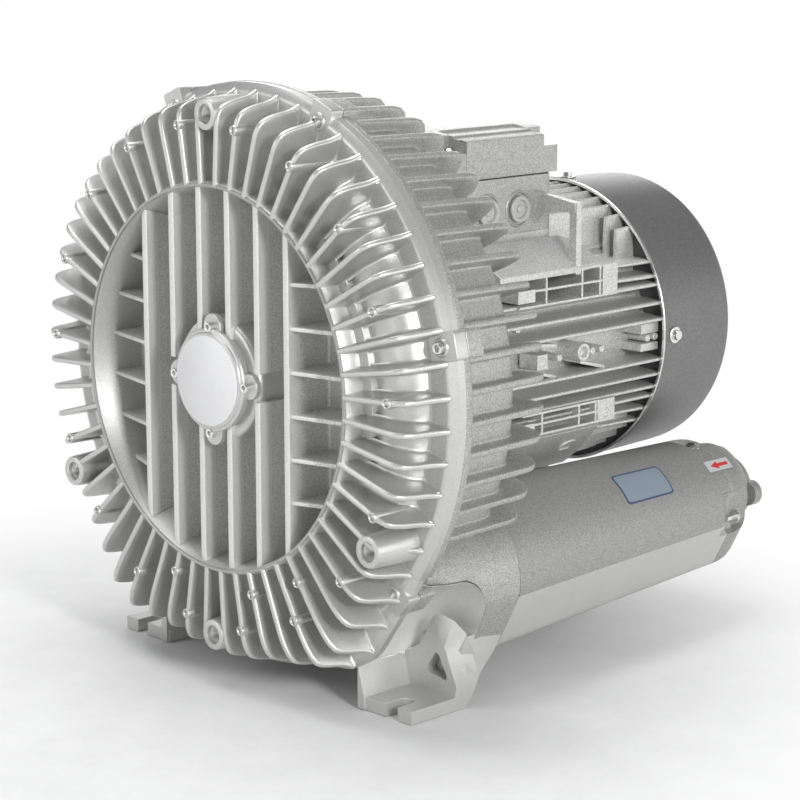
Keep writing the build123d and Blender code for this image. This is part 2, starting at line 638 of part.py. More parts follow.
def housing_fin():
    """Housing fin along the shell, with a rounded rear end."""
    bend = FIN_ROUND * (1 - math.sqrt(0.5))
    face = outline((SHELL_RADIUS - 3, JOINT_Y + HOUSING_FLANGE_DEPTH),
                   (HOUSING_FIN_TIP, JOINT_Y + HOUSING_FLANGE_DEPTH),
                   (HOUSING_FIN_REAR_TIP, HOUSING_FIN_REAR_Y - FIN_ROUND),
                   ((HOUSING_FIN_REAR_TIP - bend, HOUSING_FIN_REAR_Y - bend),
                    (HOUSING_FIN_REAR_TIP - FIN_ROUND, HOUSING_FIN_REAR_Y)),
                   (CHANNEL_RADIUS + 10, HOUSING_FIN_REAR_Y), (CHANNEL_RADIUS - 6, REAR_RACE_Y + 34),
                   (CHANNEL_RADIUS - 6, REAR_RACE_Y + 10), (SHELL_RADIUS - 3, REAR_RACE_Y + 10))
    return extrude(face, amount=FIN_THICKNESS / 2, both=True)


def housing_shell():
    """Housing casting without fins: flange, shell, rear channel bulge and motor neck."""
    bulge = CHANNEL_BORE + CASTING_WALL
    half = bulge * math.sqrt(0.5)
    flange_rear = JOINT_Y + HOUSING_FLANGE_DEPTH
    face = outline((0, JOINT_Y), (FLANGE_RADIUS + 1, JOINT_Y), (FLANGE_RADIUS + 1, flange_rear),
                   (FLANGE_RADIUS - 6, flange_rear + 4), (SHELL_RADIUS + 9, flange_rear + 8),
                   (SHELL_RADIUS, flange_rear + 18), (SHELL_RADIUS, REAR_RACE_Y),
                   ((CHANNEL_RADIUS + half, REAR_RACE_Y + half), (CHANNEL_RADIUS, REAR_RACE_Y + bulge)),
                   (CHANNEL_RADIUS - half, REAR_RACE_Y + half), (NECK_RADIUS + 22, REAR_RACE_Y + 14),
                   (NECK_RADIUS, REAR_RACE_Y + 34), (NECK_RADIUS, MOTOR_FACE_Y - FRAME_FLANGE_DEPTH),
                   (FRAME_FLANGE_RADIUS, MOTOR_FACE_Y - FRAME_FLANGE_DEPTH),
                   (FRAME_FLANGE_RADIUS, MOTOR_FACE_Y), (0, MOTOR_FACE_Y))
    return lathe(face)


def blower_housing():
    """Finned housing with the rear half of the channel, both port ducts and the front feet."""
    body = housing_shell()
    fins = [clocked((k + 0.5) * FIN_PITCH, housing_fin()) for k in range(FIN_COUNT)]
    lugs = [clocked(a, lug_block(JOINT_Y, JOINT_Y + HOUSING_LUG_DEPTH)) for a in LUG_ANGLES]
    right_duct = port_duct()
    right_foot = foot()
    body = body.fuse(*fins, *lugs, right_duct, mirrored(right_duct), right_foot, mirrored(right_foot))
    silencer_room = duct_loft(-1.5, SILENCER_FRONT_Y, HOUSING_FIN_REAR_Y + 1, 1, 1)
    body -= silencer_room
    body -= mirrored(silencer_room)
    room = IMPELLER_RADIUS + IMPELLER_GAP
    body -= rod(room, JOINT_Y - 1, REAR_RACE_Y)
    body -= channel_ring(REAR_RACE_Y, STRIPPER_HALF_ANGLE - 180, 180 - STRIPPER_HALF_ANGLE, 1)
    cavity_y = REAR_RACE_Y + CHANNEL_BORE + CASTING_WALL + 2
    cavity = duct_loft(CASTING_WALL, cavity_y, SILENCER_FRONT_Y + 1, 1, 1)
    for angle, hollow in ((PORT_ANGLE, cavity), (-PORT_ANGLE, mirrored(cavity))):
        (x, z), = ring_places(CHANNEL_RADIUS, [angle])
        body -= rod(PORT_DUCT_WIDTH / 2, REAR_RACE_Y + 2, SILENCER_FRONT_Y, x, z)
        body -= hollow
    seat_rear = DRIVE_BEARING_Y + DRIVE_BEARING[2]
    body -= rod(DRIVE_BEARING[1], DRIVE_BEARING_Y, MOTOR_FACE_Y + 1)
    body -= rod(NECK_RADIUS - 22, seat_rear + 2, MOTOR_FACE_Y + 1)
    body -= rod(DRIVE_SEAL_RADIUS, REAR_RACE_Y - 1, DRIVE_BEARING_Y + 1)
    for x, z in ring_places(LUG_RING, LUG_ANGLES):
        body -= rod(M8_RADIUS, JOINT_Y - 1, JOINT_Y + HOUSING_LUG_DEPTH - 4, x, z)
    for x, z in ring_places(FRAME_SCREW_RING, FRAME_SCREW_ANGLES):
        body -= rod(M8_RADIUS, MOTOR_FACE_Y - FRAME_FLANGE_DEPTH - 1, MOTOR_FACE_Y + 1, x, z)
    return body


def cover_screws():
    """Socket head screws that hold the cover to the housing."""
    socket = (M8_SOCKET_RADIUS, M8_SOCKET_DEPTH)
    seat = JOINT_Y - COVER_LUG_DEPTH
    places = ring_places(LUG_RING, LUG_ANGLES)
    return [cap_screw(M8_RADIUS, M8_HEAD_RADIUS, M8_HEAD_LENGTH, socket, seat, 30, x, z) for x, z in places]


def radial_plate(x, z_low, reach, reach_rear, y_front, y_rear):
    """Upright motor fin that leans inward towards the rear, above the barrel."""
    half = MOTOR_FIN_THICKNESS / 2
    return prism_along_x([(y_front, z_low), (y_rear, z_low), (y_rear, reach_rear), (y_front, reach)],
                         x - half, x + half)


def side_fins():
    """Level fins on the right side of the motor frame."""
    half = MOTOR_FIN_THICKNESS / 2
    y_front = MOTOR_FACE_Y + 16
    fins = []
    for z in SIDE_FIN_LEVELS:
        points = [(60, y_front), (fin_reach(SIDE_FIN_REACH, z), y_front),
                  (fin_reach(SIDE_FIN_REAR_REACH, z), FRAME_REAR_Y), (60, FRAME_REAR_Y)]
        face = make_face(Polyline(*points, close=True))
        fins.append(Pos(0, 0, z - half) * extrude(face, amount=MOTOR_FIN_THICKNESS))
    return fins


def fin_reach(reach, offset):
    """How far a straight fin stands out where it is off the middle line of its side."""
    return math.sqrt(reach ** 2 - offset ** 2)


def fin_root(offset):
    """Where the barrel's surface lies at this distance from the middle line."""
    return math.sqrt(FRAME_RADIUS ** 2 - offset ** 2) - 1


def upright_fins(z_sign):
    """Upright fins on the top or the bottom of the motor frame, behind the terminal box pad."""
    fins = []
    for x in [TOP_FIN_PITCH * (k - TOP_FIN_COUNT // 2) for k in range(TOP_FIN_COUNT)]:
        tip = math.sqrt(UPRIGHT_FIN_REACH ** 2 - x ** 2)
        fin = radial_plate(x, fin_root(x), tip, tip - 3, UPRIGHT_FIN_Y, FRAME_REAR_Y)
        fins.append(fin if z_sign > 0 else mirror(fin, about=Plane.XY))
    return fins


def side_pad(levels, y_range):
    """Open lattice pad on the right side of the frame: edge strips, cross ribs and an end block."""
    low, high = levels
    y_front, y_rear = y_range
    strip = PAD_STRIP
    middle = (low + high) / 2
    inner = fin_root((low + high) / 2) - 6
    pad = slab((inner, PAD_REACH), (y_front, y_rear), (low, low + strip))
    pieces = [slab((inner, PAD_REACH), (y_front, y_rear), (high - strip, high)),
              slab((inner, PAD_REACH), (y_front, y_rear), (middle - strip / 2, middle + strip / 2)),
              slab((inner, PAD_REACH), (y_rear - PAD_BLOCK, y_rear), (low, high))]
    pitch = (y_rear - PAD_BLOCK - y_front) / PAD_CELLS
    pieces += [slab((inner, PAD_REACH), (y_front + pitch * k, y_front + pitch * k + strip), (low, high))
               for k in range(PAD_CELLS)]
    pad = pad.fuse(*pieces)
    hole_y = y_rear - PAD_BLOCK / 2
    return pad - Pos(PAD_REACH, hole_y, middle) * Rot(0, 90, 0) * Cylinder(M8_RADIUS, 40)


def side_bosses():
    """Threaded bosses and Y ribs between the two lattice pads."""
    pieces = []
    for y in SIDE_BOSS_Y:
        boss = Pos(0, y, 0) * Rot(0, 90, 0) * Cylinder(SIDE_BOSS_RADIUS, SIDE_BOSS_REACH, align=START)
        for lean in (-1, 1):
            boss += Pos(100, y + 4, lean * 3) * Rot(lean * 30, 0, 0) * slab((0, 34), (0, 26), (-1.5, 1.5))
        boss -= Pos(SIDE_BOSS_REACH - 14, y, 0) * Rot(0, 90, 0) * Cylinder(M8_RADIUS, 20, align=START)
        pieces.append(boss)
    return pieces


def lashing_lug():
    """Post with a tapered arm on the upper right of the frame, beside the terminal box."""
    y_range = (LUG_POST_Y - LUG_POST_DEPTH / 2, LUG_POST_Y + LUG_POST_DEPTH / 2)
    post = slab((LUG_POST_X - 10, LUG_POST_X), y_range, (60, LUG_POST_TOP_Z))
    arm = prism_along_y([(BOX_HALF_WIDTH + 3, LUG_POST_TOP_Z + 16), (LUG_POST_X, LUG_POST_TOP_Z),
                         (LUG_POST_X, LUG_POST_TOP_Z - 12), (BOX_HALF_WIDTH + 18, LUG_POST_TOP_Z - 14),
                         (BOX_HALF_WIDTH + 3, LUG_POST_TOP_Z - 30)], *y_range)
    return post + arm


def motor_frame():
    """Finned motor frame with its front flange, side pads and the seat of the terminal box."""
    body = rod(FRAME_RADIUS, MOTOR_FACE_Y, FRAME_REAR_Y)
    body += rod(FRAME_FLANGE_RADIUS, MOTOR_FACE_Y, MOTOR_FACE_Y + FRAME_FLANGE_DEPTH)
    right = side_fins() + side_bosses()
    right += [side_pad(UPPER_PAD_LEVELS, PAD_Y), side_pad(LOWER_PAD_LEVELS, PAD_Y)]
    pieces = right + [mirrored(piece) for piece in right] + upright_fins(1) + upright_fins(-1)
    pieces.append(slab((-BOX_HALF_WIDTH + 3, BOX_HALF_WIDTH - 3), BOX_Y, (60, BOX_FLOOR_Z)))
    pieces.append(slab((-REAR_FOOT_PAD, REAR_FOOT_PAD), REAR_FOOT_PAD_Y, (REAR_FOOT_TOP_Z, -60)))
    pieces.append(lashing_lug())
    body = body.fuse(*pieces)
    body -= rod(STATOR_RADIUS, MOTOR_FACE_Y - 1, FRAME_REAR_Y + 20)
    room = REAR_FOOT_PAD + 3
    room_y = (REAR_FOOT_PAD_Y[0] - 3, REAR_FOOT_PAD_Y[1] + 3)
    body -= slab((-room, room), room_y, (-UPRIGHT_FIN_REACH - 2, REAR_FOOT_TOP_Z))
    body -= Pos(0, BOX_Y[0] + 30, 110) * Cylinder(CABLE_HOLE_RADIUS, 60)
    for x, z in ring_places(FRAME_RADIUS - 4, SHIELD_SCREW_ANGLES):
        body -= rod(M6_RADIUS, FRAME_REAR_Y - 14, FRAME_REAR_Y + 1, x, z)
    seat = MOTOR_FACE_Y + FRAME_FLANGE_DEPTH
    for x, z in ring_places(FRAME_SCREW_RING, FRAME_SCREW_ANGLES):
        body -= rod(M8_RADIUS + SCREW_CLEARANCE, MOTOR_FACE_Y - 1, seat + 1, x, z)
        body -= rod(M8_HEAD_RADIUS + 2.5, seat, MOTOR_FACE_Y + 40, x, z)
    for x, y in rear_foot_bolts():
        body -= Pos(x, y, REAR_FOOT_TOP_Z + 7) * Cylinder(M8_RADIUS, 16)
    return body


def hex_screw(radius, head_radius, head_length, length):
    """Hexagon screw along +Z with its head on top and its seat at the origin."""
    head = extrude(RegularPolygon(head_radius, 6), amount=head_length)
    return head + Pos(0, 0, -length / 2) * Cylinder(radius, length)


def motor_flange_screws():
    """Hexagon screws that hold the motor frame to the blower housing."""
    seat = MOTOR_FACE_Y + FRAME_FLANGE_DEPTH
    screw = Rot(-90, 0, 0) * hex_screw(M8_RADIUS, M8_HEAD_RADIUS + 0.8, 5.5, FRAME_FLANGE_DEPTH + 12)
    return [Pos(x, seat, z) * screw for x, z in ring_places(FRAME_SCREW_RING, FRAME_SCREW_ANGLES)]


def stator_core():
    """Laminated stator core."""
    return tube(STATOR_RADIUS, ROTOR_RADIUS + AIR_GAP, STACK_Y, STACK_Y + STACK_LENGTH)


def stator_winding():
    """Winding heads at both ends of the stator core."""
    inner = ROTOR_RADIUS + 5
    outer = STATOR_RADIUS - 7
    heads = []
    for y, way in ((STACK_Y, -1), (STACK_Y + STACK_LENGTH, 1)):
        end = y + way * WINDING_LENGTH
        face = outline((inner, y), (inner, end - way * 6), (inner + 6, end), (outer - 6, end),
                       (outer, end - way * 6), (outer, y))
        heads.append(lathe(face))
    return heads


def rotor_core():
    """Laminated rotor core pressed on the shaft."""
    return tube(ROTOR_RADIUS, ROTOR_SEAT_RADIUS, STACK_Y, STACK_Y + STACK_LENGTH)


def rotor_end_rings():
    """Cast end rings of the rotor with small stirring lugs."""
    rings = []
    for y, way in ((STACK_Y, -1), (STACK_Y + STACK_LENGTH, 1)):
        low, high = sorted((y, y + way * END_RING_LENGTH))
        ring = tube(ROTOR_RADIUS - 1, ROTOR_RADIUS - 20, low, high)
        lug_low, lug_high = sorted((y + way * END_RING_LENGTH, y + way * (END_RING_LENGTH + 10)))
        lug = slab((ROTOR_RADIUS - 18, ROTOR_RADIUS - 3), (lug_low, lug_high), (-1.5, 1.5))
        rings.append(ring.fuse(*[clocked(45 * k, lug) for k in range(8)]))
    return rings


def rear_end_shield():
    """Rear end shield with the bearing seat and four lugs for the fan cover."""
    seat = REAR_BEARING[1]
    front = REAR_BEARING_Y - 2
    rear = REAR_BEARING_Y + REAR_BEARING[2]
    face = outline((REAR_BEARING[0] + 4, rear), (REAR_BEARING[0] + 4, rear + 6), (seat + 20, rear + 6),
                   (STATOR_RADIUS - 2, FRAME_REAR_Y + 8), (FRAME_RADIUS + 4, FRAME_REAR_Y + 8),
                   (FRAME_RADIUS + 4, FRAME_REAR_Y), (STATOR_RADIUS, FRAME_REAR_Y),
                   (STATOR_RADIUS, FRAME_REAR_Y - 8), (STATOR_RADIUS - 6, FRAME_REAR_Y - 8),
                   (STATOR_RADIUS - 12, FRAME_REAR_Y), (seat + 14, FRAME_REAR_Y + 1),
                   (seat + 9, front), (seat, front), (seat, rear))
    body = lathe(face)
    reach = FAN_COVER_RADIUS - FAN_COVER_SHEET - 0.8
    lug = slab((FRAME_RADIUS - 3, reach), (FAN_SCREW_Y - 9, FAN_SCREW_Y + 7), (-8, 8))
    body = body.fuse(*[clocked(a, lug) for a in FAN_COVER_SCREW_ANGLES])
    for angle in FAN_COVER_SCREW_ANGLES:
        hole = Pos(reach - 15, FAN_SCREW_Y, 0) * Rot(0, 90, 0) * Cylinder(M6_RADIUS, 20, align=START)
        body -= clocked(angle, hole)
    for x, z in ring_places(FRAME_RADIUS - 4, SHIELD_SCREW_ANGLES):
        body -= rod(M6_RADIUS + SCREW_CLEARANCE, FRAME_REAR_Y - 1, FRAME_REAR_Y + 9, x, z)
    return body


def rear_shield_screws():
    """Screws of the rear end shield."""
    screw = Rot(-90, 0, 0) * hex_screw(M6_RADIUS, M6_HEAD_RADIUS + 0.5, 4, 20)
    places = ring_places(FRAME_RADIUS - 4, SHIELD_SCREW_ANGLES)
    return [Pos(x, FRAME_REAR_Y + 8, z) * screw for x, z in places]


def wave_spring(outer, y_front, depth):
    """Preload ring that pushes the outer ring of a bearing."""
    return tube(outer - 0.3, outer - 5, y_front, y_front + depth)


def cooling_fan():
    """Straight bladed fan of the motor."""
    body = tube(FAN_SEAT_RADIUS + 12, FAN_SEAT_RADIUS, FAN_Y, FAN_Y + FAN_LENGTH)
    body += tube(FAN_RADIUS, FAN_SEAT_RADIUS + 10, FAN_Y, FAN_Y + 3)
    face = make_face(Polyline((FAN_SEAT_RADIUS + 10, FAN_Y + 2), (FAN_RADIUS, FAN_Y + 2),
                              (FAN_RADIUS, FAN_Y + 22), (FAN_SEAT_RADIUS + 30, FAN_Y + FAN_LENGTH - 2),
                              (FAN_SEAT_RADIUS + 10, FAN_Y + FAN_LENGTH - 2), close=True))
    blade = extrude(face, amount=1.5, both=True)
    return body.fuse(*[clocked(360.0 / FAN_BLADES * k, blade) for k in range(FAN_BLADES)])


def fan_clip():
    """Retaining ring behind the fan."""
    clip = tube(FAN_SEAT_RADIUS + 3, FAN_SEAT_RADIUS, FAN_Y + FAN_LENGTH, FAN_Y + FAN_LENGTH + 1.5)
    return clip - slab((0, FAN_SEAT_RADIUS + 5), (FAN_Y + FAN_LENGTH - 1, FAN_Y + FAN_LENGTH + 3), (-3, 3))


def fan_cover():
    """Sheet metal fan cover with rings of slots in its rear wall."""
    outer, sheet = FAN_COVER_RADIUS, FAN_COVER_SHEET
    rear, turn = FAN_COVER_REAR_Y, FAN_COVER_ROUND
    slim = outer - 2
    bend = turn * (1 - math.sqrt(0.5))
    inner_turn = turn - sheet
    inner_bend = inner_turn * (1 - math.sqrt(0.5))
    face = outline((outer, FAN_COVER_FRONT_Y), (slim, rear - turn),
                   ((slim - bend, rear - bend), (slim - turn, rear)), (0, rear), (0, rear - sheet),
                   (slim - turn, rear - sheet),
                   ((slim - sheet - inner_bend, rear - sheet - inner_bend), (slim - sheet, rear - turn)),
                   (outer - sheet, FAN_COVER_FRONT_Y))
    body = lathe(face)
    radius = GRILLE_INNER
    slots = []
    while radius + GRILLE_SLOT < slim - turn - 6:
        slots.append(tube(radius + GRILLE_SLOT, radius, rear - sheet - 1, rear + 1))
        radius += GRILLE_SLOT + GRILLE_BAR
    spokes = [clocked(360.0 / GRILLE_SPOKES * k,
                      slab((0, outer), (rear - sheet - 2, rear + 2), (-GRILLE_BAR / 2, GRILLE_BAR / 2)))
              for k in range(GRILLE_SPOKES)]
    body = body.cut(*[slot.cut(*spokes) for slot in slots])
    for angle in FAN_COVER_SCREW_ANGLES:
        hole = Cylinder(M6_RADIUS + SCREW_CLEARANCE, 30, align=START)
        body -= clocked(angle, Pos(outer - 20, FAN_SCREW_Y, 0) * Rot(0, 90, 0) * hole)
    return body


def fan_cover_screws():
    """Screws with washers that hold the fan cover."""
    seat = FAN_COVER_RADIUS + 0.1
    screw = hex_screw(M6_RADIUS, M6_HEAD_RADIUS + 0.5, 5, 15) + Pos(0, 0, 0.6) * Cylinder(M6_RADIUS + 4, 1.2)
    turned = Pos(seat, FAN_SCREW_Y, 0) * Rot(0, 90, 0) * screw
    return [clocked(angle, turned) for angle in FAN_COVER_SCREW_ANGLES]


def lid_screw_places():
    """Places (x, y) of the four corner screws of the terminal box lid."""
    return [(x, y) for x in (-BOX_HALF_WIDTH + LID_SCREW_INSET, BOX_HALF_WIDTH - LID_SCREW_INSET)
            for y in (BOX_Y[0] + LID_SCREW_INSET, BOX_Y[1] - LID_SCREW_INSET)]


def terminal_box():
    """Open terminal box on top of the motor, with its cable holes on the right."""
    half = BOX_HALF_WIDTH
    body = slab((-half, half), BOX_Y, (BOX_FLOOR_Z, BOX_SEAM_Z))
    body = fillet(body.edges().filter_by(Axis.Z), 8)
    inside = slab((-half + BOX_WALL, half - BOX_WALL), (BOX_Y[0] + BOX_WALL, BOX_Y[1] - BOX_WALL),
                  (BOX_FLOOR_Z + BOX_WALL, BOX_SEAM_Z + 1))
    body -= fillet(inside.edges().filter_by(Axis.Z), 5)
    depth = BOX_SEAM_Z - BOX_FLOOR_Z
    shell = slab((-half + 1, half - 1), (BOX_Y[0] + 1, BOX_Y[1] - 1), (BOX_FLOOR_Z, BOX_SEAM_Z))
    shell = fillet(shell.edges().filter_by(Axis.Z), 7)
    for x, y in lid_screw_places():
        body += Pos(x, y, BOX_FLOOR_Z) * Cylinder(LID_SCREW_BOSS, depth, align=START) & shell
        body -= Pos(x, y, BOX_SEAM_Z) * Cylinder(M6_RADIUS - 0.5, 30)
    for y in PLUG_PLACES:
        body += Pos(half - 6, y, PLUG_Z) * Rot(0, 90, 0) * Cylinder(PLUG_HEAD_RADIUS + 3, 8, align=START)
        body -= Pos(half - 20, y, PLUG_Z) * Rot(0, 90, 0) * Cylinder(PLUG_RADIUS, 40, align=START)
    return body - Pos(0, BOX_Y[0] + 30, BOX_FLOOR_Z) * Cylinder(CABLE_HOLE_RADIUS, 20)


def cable_plugs():
    """Round blanking plugs in the cable holes."""
    seat = BOX_HALF_WIDTH + 2
    plugs = []
    for y in PLUG_PLACES:
        plug = Pos(seat - 10, y, PLUG_Z) * Rot(0, 90, 0) * Cylinder(PLUG_RADIUS, 12, align=START)
        plug += Pos(seat, y, PLUG_Z) * Rot(0, 90, 0) * Cylinder(PLUG_HEAD_RADIUS - 2, 3, align=START)
        plug -= Pos(seat - 1, y, PLUG_Z) * Rot(0, 90, 0) * Cylinder(PLUG_RADIUS - 4, 6, align=START)
        plug += Pos(seat - 2, y, PLUG_Z) * Rot(0, 90, 0) * Cylinder(3, 4, align=START)
        plugs.append(plug)
    return plugs


def box_gasket():
    """Rubber gasket between terminal box and lid."""
    half = BOX_HALF_WIDTH
    top = BOX_SEAM_Z + GASKET_THICKNESS
    ring = slab((-half + 1, half - 1), (BOX_Y[0] + 1, BOX_Y[1] - 1), (BOX_SEAM_Z, top))
    ring = fillet(ring.edges().filter_by(Axis.Z), 7)
    ring -= slab((-half + 8, half - 8), (BOX_Y[0] + 20, BOX_Y[1] - 20), (BOX_SEAM_Z - 1, BOX_SEAM_Z + 5))
    for x, y in lid_screw_places():
        ring -= Pos(x, y, BOX_SEAM_Z) * Cylinder(M6_RADIUS, 10)
    return ring


def box_lid():
    """Terminal box lid with stepped shoulders and low corners for the screws."""
    bottom = BOX_SEAM_Z + GASKET_THICKNESS
    right = [(LID_HALF_WIDTH, bottom)]
    for (x, z), (next_x, _) in zip(LID_STEPS, LID_STEPS[1:] + ((LID_STEPS[-1][0] - 8, 0),)):
        right += [(x, z), (next_x + 2, z)]
    left = [(-x, z) for x, z in reversed(right)]
    body = prism_along_y(right + left, BOX_Y[0] - LID_OVERHANG, BOX_Y[1] + LID_OVERHANG)
    wall = BOX_WALL + 3
    body -= slab((-LID_HALF_WIDTH + wall, LID_HALF_WIDTH - wall), (BOX_Y[0] + 24, BOX_Y[1] - 24),
                 (bottom - 1, LID_SHOULDER_Z - 4))
    for x, y in lid_screw_places():
        out_x = math.copysign(LID_HALF_WIDTH + 1, x)
        low_x, high_x = sorted((x - math.copysign(7, x), out_x))
        out_y = BOX_Y[0] - 5 if y < sum(BOX_Y) / 2 else BOX_Y[1] + 5
        low_y, high_y = sorted((y + (8 if out_y < y else -8), out_y))
        body -= slab((low_x, high_x), (low_y, high_y), (LID_SHOULDER_Z, LID_TOP_Z + 1))
        body -= Pos(x, y, bottom) * Cylinder(M6_RADIUS + SCREW_CLEARANCE, 80)
    return body


def box_lid_screws():
    """Corner screws of the terminal box lid."""
    screw = hex_screw(M6_RADIUS - 0.5, M6_HEAD_RADIUS, 3.5, LID_SHOULDER_Z - BOX_SEAM_Z + 12)
    return [Pos(x, y, LID_SHOULDER_Z) * screw for x, y in lid_screw_places()]


def terminal_board():
    """Terminal board with two raised rows."""
    z = BOX_FLOOR_Z + BOX_WALL
    y = sum(BOX_Y) / 2 + 12
    board = slab((-45, 45), (y - 28, y + 28), (z, z + 12))
    for row in (y - 16, y + 16):
        board += slab((-42, 42), (row - 8, row + 8), (z + 11, z + 16))
    return board


def terminal_studs():
    """Six brass terminal studs with nuts."""
    z = BOX_FLOOR_Z + BOX_WALL + 16
    y = sum(BOX_Y) / 2 + 12
    studs = []
    for x in (-28, 0, 28):
        for row in (y - 16, y + 16):
            nut = Pos(x, row, z) * extrude(RegularPolygon(5.5, 6), amount=5)
            studs.append(nut + Pos(x, row, z + 9) * Cylinder(M6_RADIUS, 18))
    return studs


def duct_gasket():
    """Gasket between the right duct of the housing and the silencer."""
    front, rear = SILENCER_FRONT_Y, SILENCER_FRONT_Y + GASKET_THICKNESS
    return duct_loft(0.5, front, rear, 1, 1) - duct_loft(CASTING_WALL, front - 1, rear + 1, 1, 1)


def silencer():
    """Right silencer tube, tapered towards its open rear end."""
    front = SILENCER_FRONT_Y + GASKET_THICKNESS
    body = duct_loft(0, front, SILENCER_REAR_Y, 1, SILENCER_TAPER)
    body -= duct_loft(SILENCER_WALL, front - 0.5, SILENCER_REAR_Y + 0.5, 1, SILENCER_TAPER)
    boss_y = SILENCER_REAR_Y - END_BOSS_DEPTH
    section = duct_loft(0.2, boss_y, SILENCER_REAR_Y, SILENCER_TAPER, SILENCER_TAPER)
    for x, z in END_SCREW_PLACES:
        body += rod(END_SCREW_BOSS, boss_y, SILENCER_REAR_Y, x, z) & section
        body -= rod(M8_RADIUS, boss_y + 4, SILENCER_REAR_Y + 1, x, z)
    return body


def silencer_foam():
    """Sound absorbing liner inside the right silencer."""
    front, rear = SILENCER_FRONT_Y + 12, SILENCER_REAR_Y - END_BOSS_DEPTH - 6
    gap = SILENCER_WALL + FOAM_GAP
    inner = gap + FOAM_THICKNESS
    length = SILENCER_REAR_Y - SILENCER_FRONT_Y
    front_scale = 1 - (1 - SILENCER_TAPER) * (front - SILENCER_FRONT_Y) / length
    rear_scale = 1 - (1 - SILENCER_TAPER) * (rear - SILENCER_FRONT_Y) / length
    body = duct_loft(gap, front, rear, front_scale, rear_scale)
    return body - duct_loft(inner, front - 1, rear + 1, front_scale, rear_scale)


def end_cap():
    """Right silencer end cap with its threaded port and four screw pockets."""
    front = SILENCER_REAR_Y
    body = duct_loft(0, front, front + END_CAP_DEPTH * 0.45, SILENCER_TAPER, SILENCER_TAPER * 0.96)
    body += duct_loft(0, front + END_CAP_DEPTH * 0.44, front + END_CAP_DEPTH, SILENCER_TAPER * 0.96,
                      SILENCER_TAPER * 0.72)
    body += rod(PORT_BOSS_RADIUS, front + END_CAP_DEPTH * 0.4, PORT_REAR_Y, SILENCER_X, PORT_Z)
    for x in (SILENCER_X - PORT_LOBE_X, SILENCER_X + PORT_LOBE_X):
        body += rod(PORT_LOBE_RADIUS, PORT_REAR_Y - PORT_FLANGE_DEPTH, PORT_REAR_Y, x, PORT_Z)
        body -= rod(M8_RADIUS, PORT_REAR_Y - PORT_FLANGE_DEPTH - 1, PORT_REAR_Y + 1, x, PORT_Z)
    body -= duct_loft(SILENCER_WALL, front - 1, front + END_CAP_DEPTH * 0.45, SILENCER_TAPER,
                      SILENCER_TAPER * 0.96)
    body -= rod(PORT_RADIUS, front + END_CAP_DEPTH * 0.4, PORT_REAR_Y + 1, SILENCER_X, PORT_Z)
    section = duct_loft(0.2, front, front + 12, SILENCER_TAPER, SILENCER_TAPER * 0.97)
    for x, z in END_SCREW_PLACES:
        body += rod(END_SCREW_BOSS, front, front + 10, x, z) & section
        body -= rod(M8_HEAD_RADIUS + 3, front + 10, front + END_CAP_DEPTH, x, z)
        body -= rod(M8_RADIUS + SCREW_CLEARANCE, front - 1, front + 11, x, z)
    return body


def end_cap_screws():
    """Hexagon screws of the right end cap."""
    screw = Rot(-90, 0, 0) * hex_screw(M8_RADIUS, M8_HEAD_RADIUS, 6, 24)
    return [Pos(x, SILENCER_REAR_Y + 10, z) * screw for x, z in END_SCREW_PLACES]


def rear_foot_bolts():
    """Places (x, y) of the four bolts between the rear bracket and the motor frame."""
    return [(x, REAR_FOOT_Y + y) for x in (-REAR_FOOT_BOLT_X, REAR_FOOT_BOLT_X)
            for y in (-REAR_FOOT_BOLT_Y, REAR_FOOT_BOLT_Y)]


def rear_foot():
    """Bracket under the motor that carries the rear of the machine."""
    y_front, y_rear = REAR_FOOT_Y - REAR_FOOT_LENGTH / 2, REAR_FOOT_Y + REAR_FOOT_LENGTH / 2
    base_top = -SHAFT_HEIGHT + FOOT_PLATE
    leg = REAR_FOOT_LEG
    half = REAR_FOOT_HALF_WIDTH
    foot_body = slab((-half, half), (y_front, y_rear), (-SHAFT_HEIGHT, base_top))
    pad = REAR_FOOT_PAD
    under = REAR_FOOT_TOP_Z - leg + 1
    top_plate = slab((-pad, pad), REAR_FOOT_PAD_Y, (REAR_FOOT_TOP_Z - leg, REAR_FOOT_TOP_Z))
    wall = prism_along_y([(-half + 18, base_top - 1), (half - 18, base_top - 1), (pad - 4, under),
                          (4 - pad, under)], REAR_FOOT_Y - leg / 3, REAR_FOOT_Y + leg / 3)
    rib = prism_along_x([(y_front + 4, base_top - 1), (y_rear - 4, base_top - 1), (y_rear - 12, under),
                         (y_front + 12, under)], -leg / 2, leg / 2)
    foot_body = foot_body.fuse(top_plate, wall, rib)
    for x in (-REAR_FOOT_SLOT_X, REAR_FOOT_SLOT_X):
        slot = Pos(x, REAR_FOOT_Y, 0) * SlotOverall(REAR_SLOT_LENGTH, FOOT_SLOT_WIDTH)
        foot_body -= Pos(0, 0, -SHAFT_HEIGHT - 1) * extrude(slot, amount=FOOT_PLATE + 2)
    for x, y in rear_foot_bolts():
        foot_body -= Pos(x, y, REAR_FOOT_TOP_Z - leg / 2) * Cylinder(M8_RADIUS + SCREW_CLEARANCE, leg + 2)
    return foot_body


def rear_foot_screws():
    """Screws that hold the rear bracket to the motor frame."""
    screw = Rot(180, 0, 0) * hex_screw(M8_RADIUS, M8_HEAD_RADIUS + 0.8, 5.5, REAR_FOOT_LEG + 12)
    return [Pos(x, y, REAR_FOOT_TOP_Z - REAR_FOOT_LEG) * screw for x, y in rear_foot_bolts()]


def both_sides(make, name):
    """The right-hand piece for the inlet and its mirror image for the outlet."""
    right = make()
    right = right if isinstance(right, list) else [right]
    return {"inlet_" + name: right, "outlet_" + name: [mirrored(piece) for piece in right]}


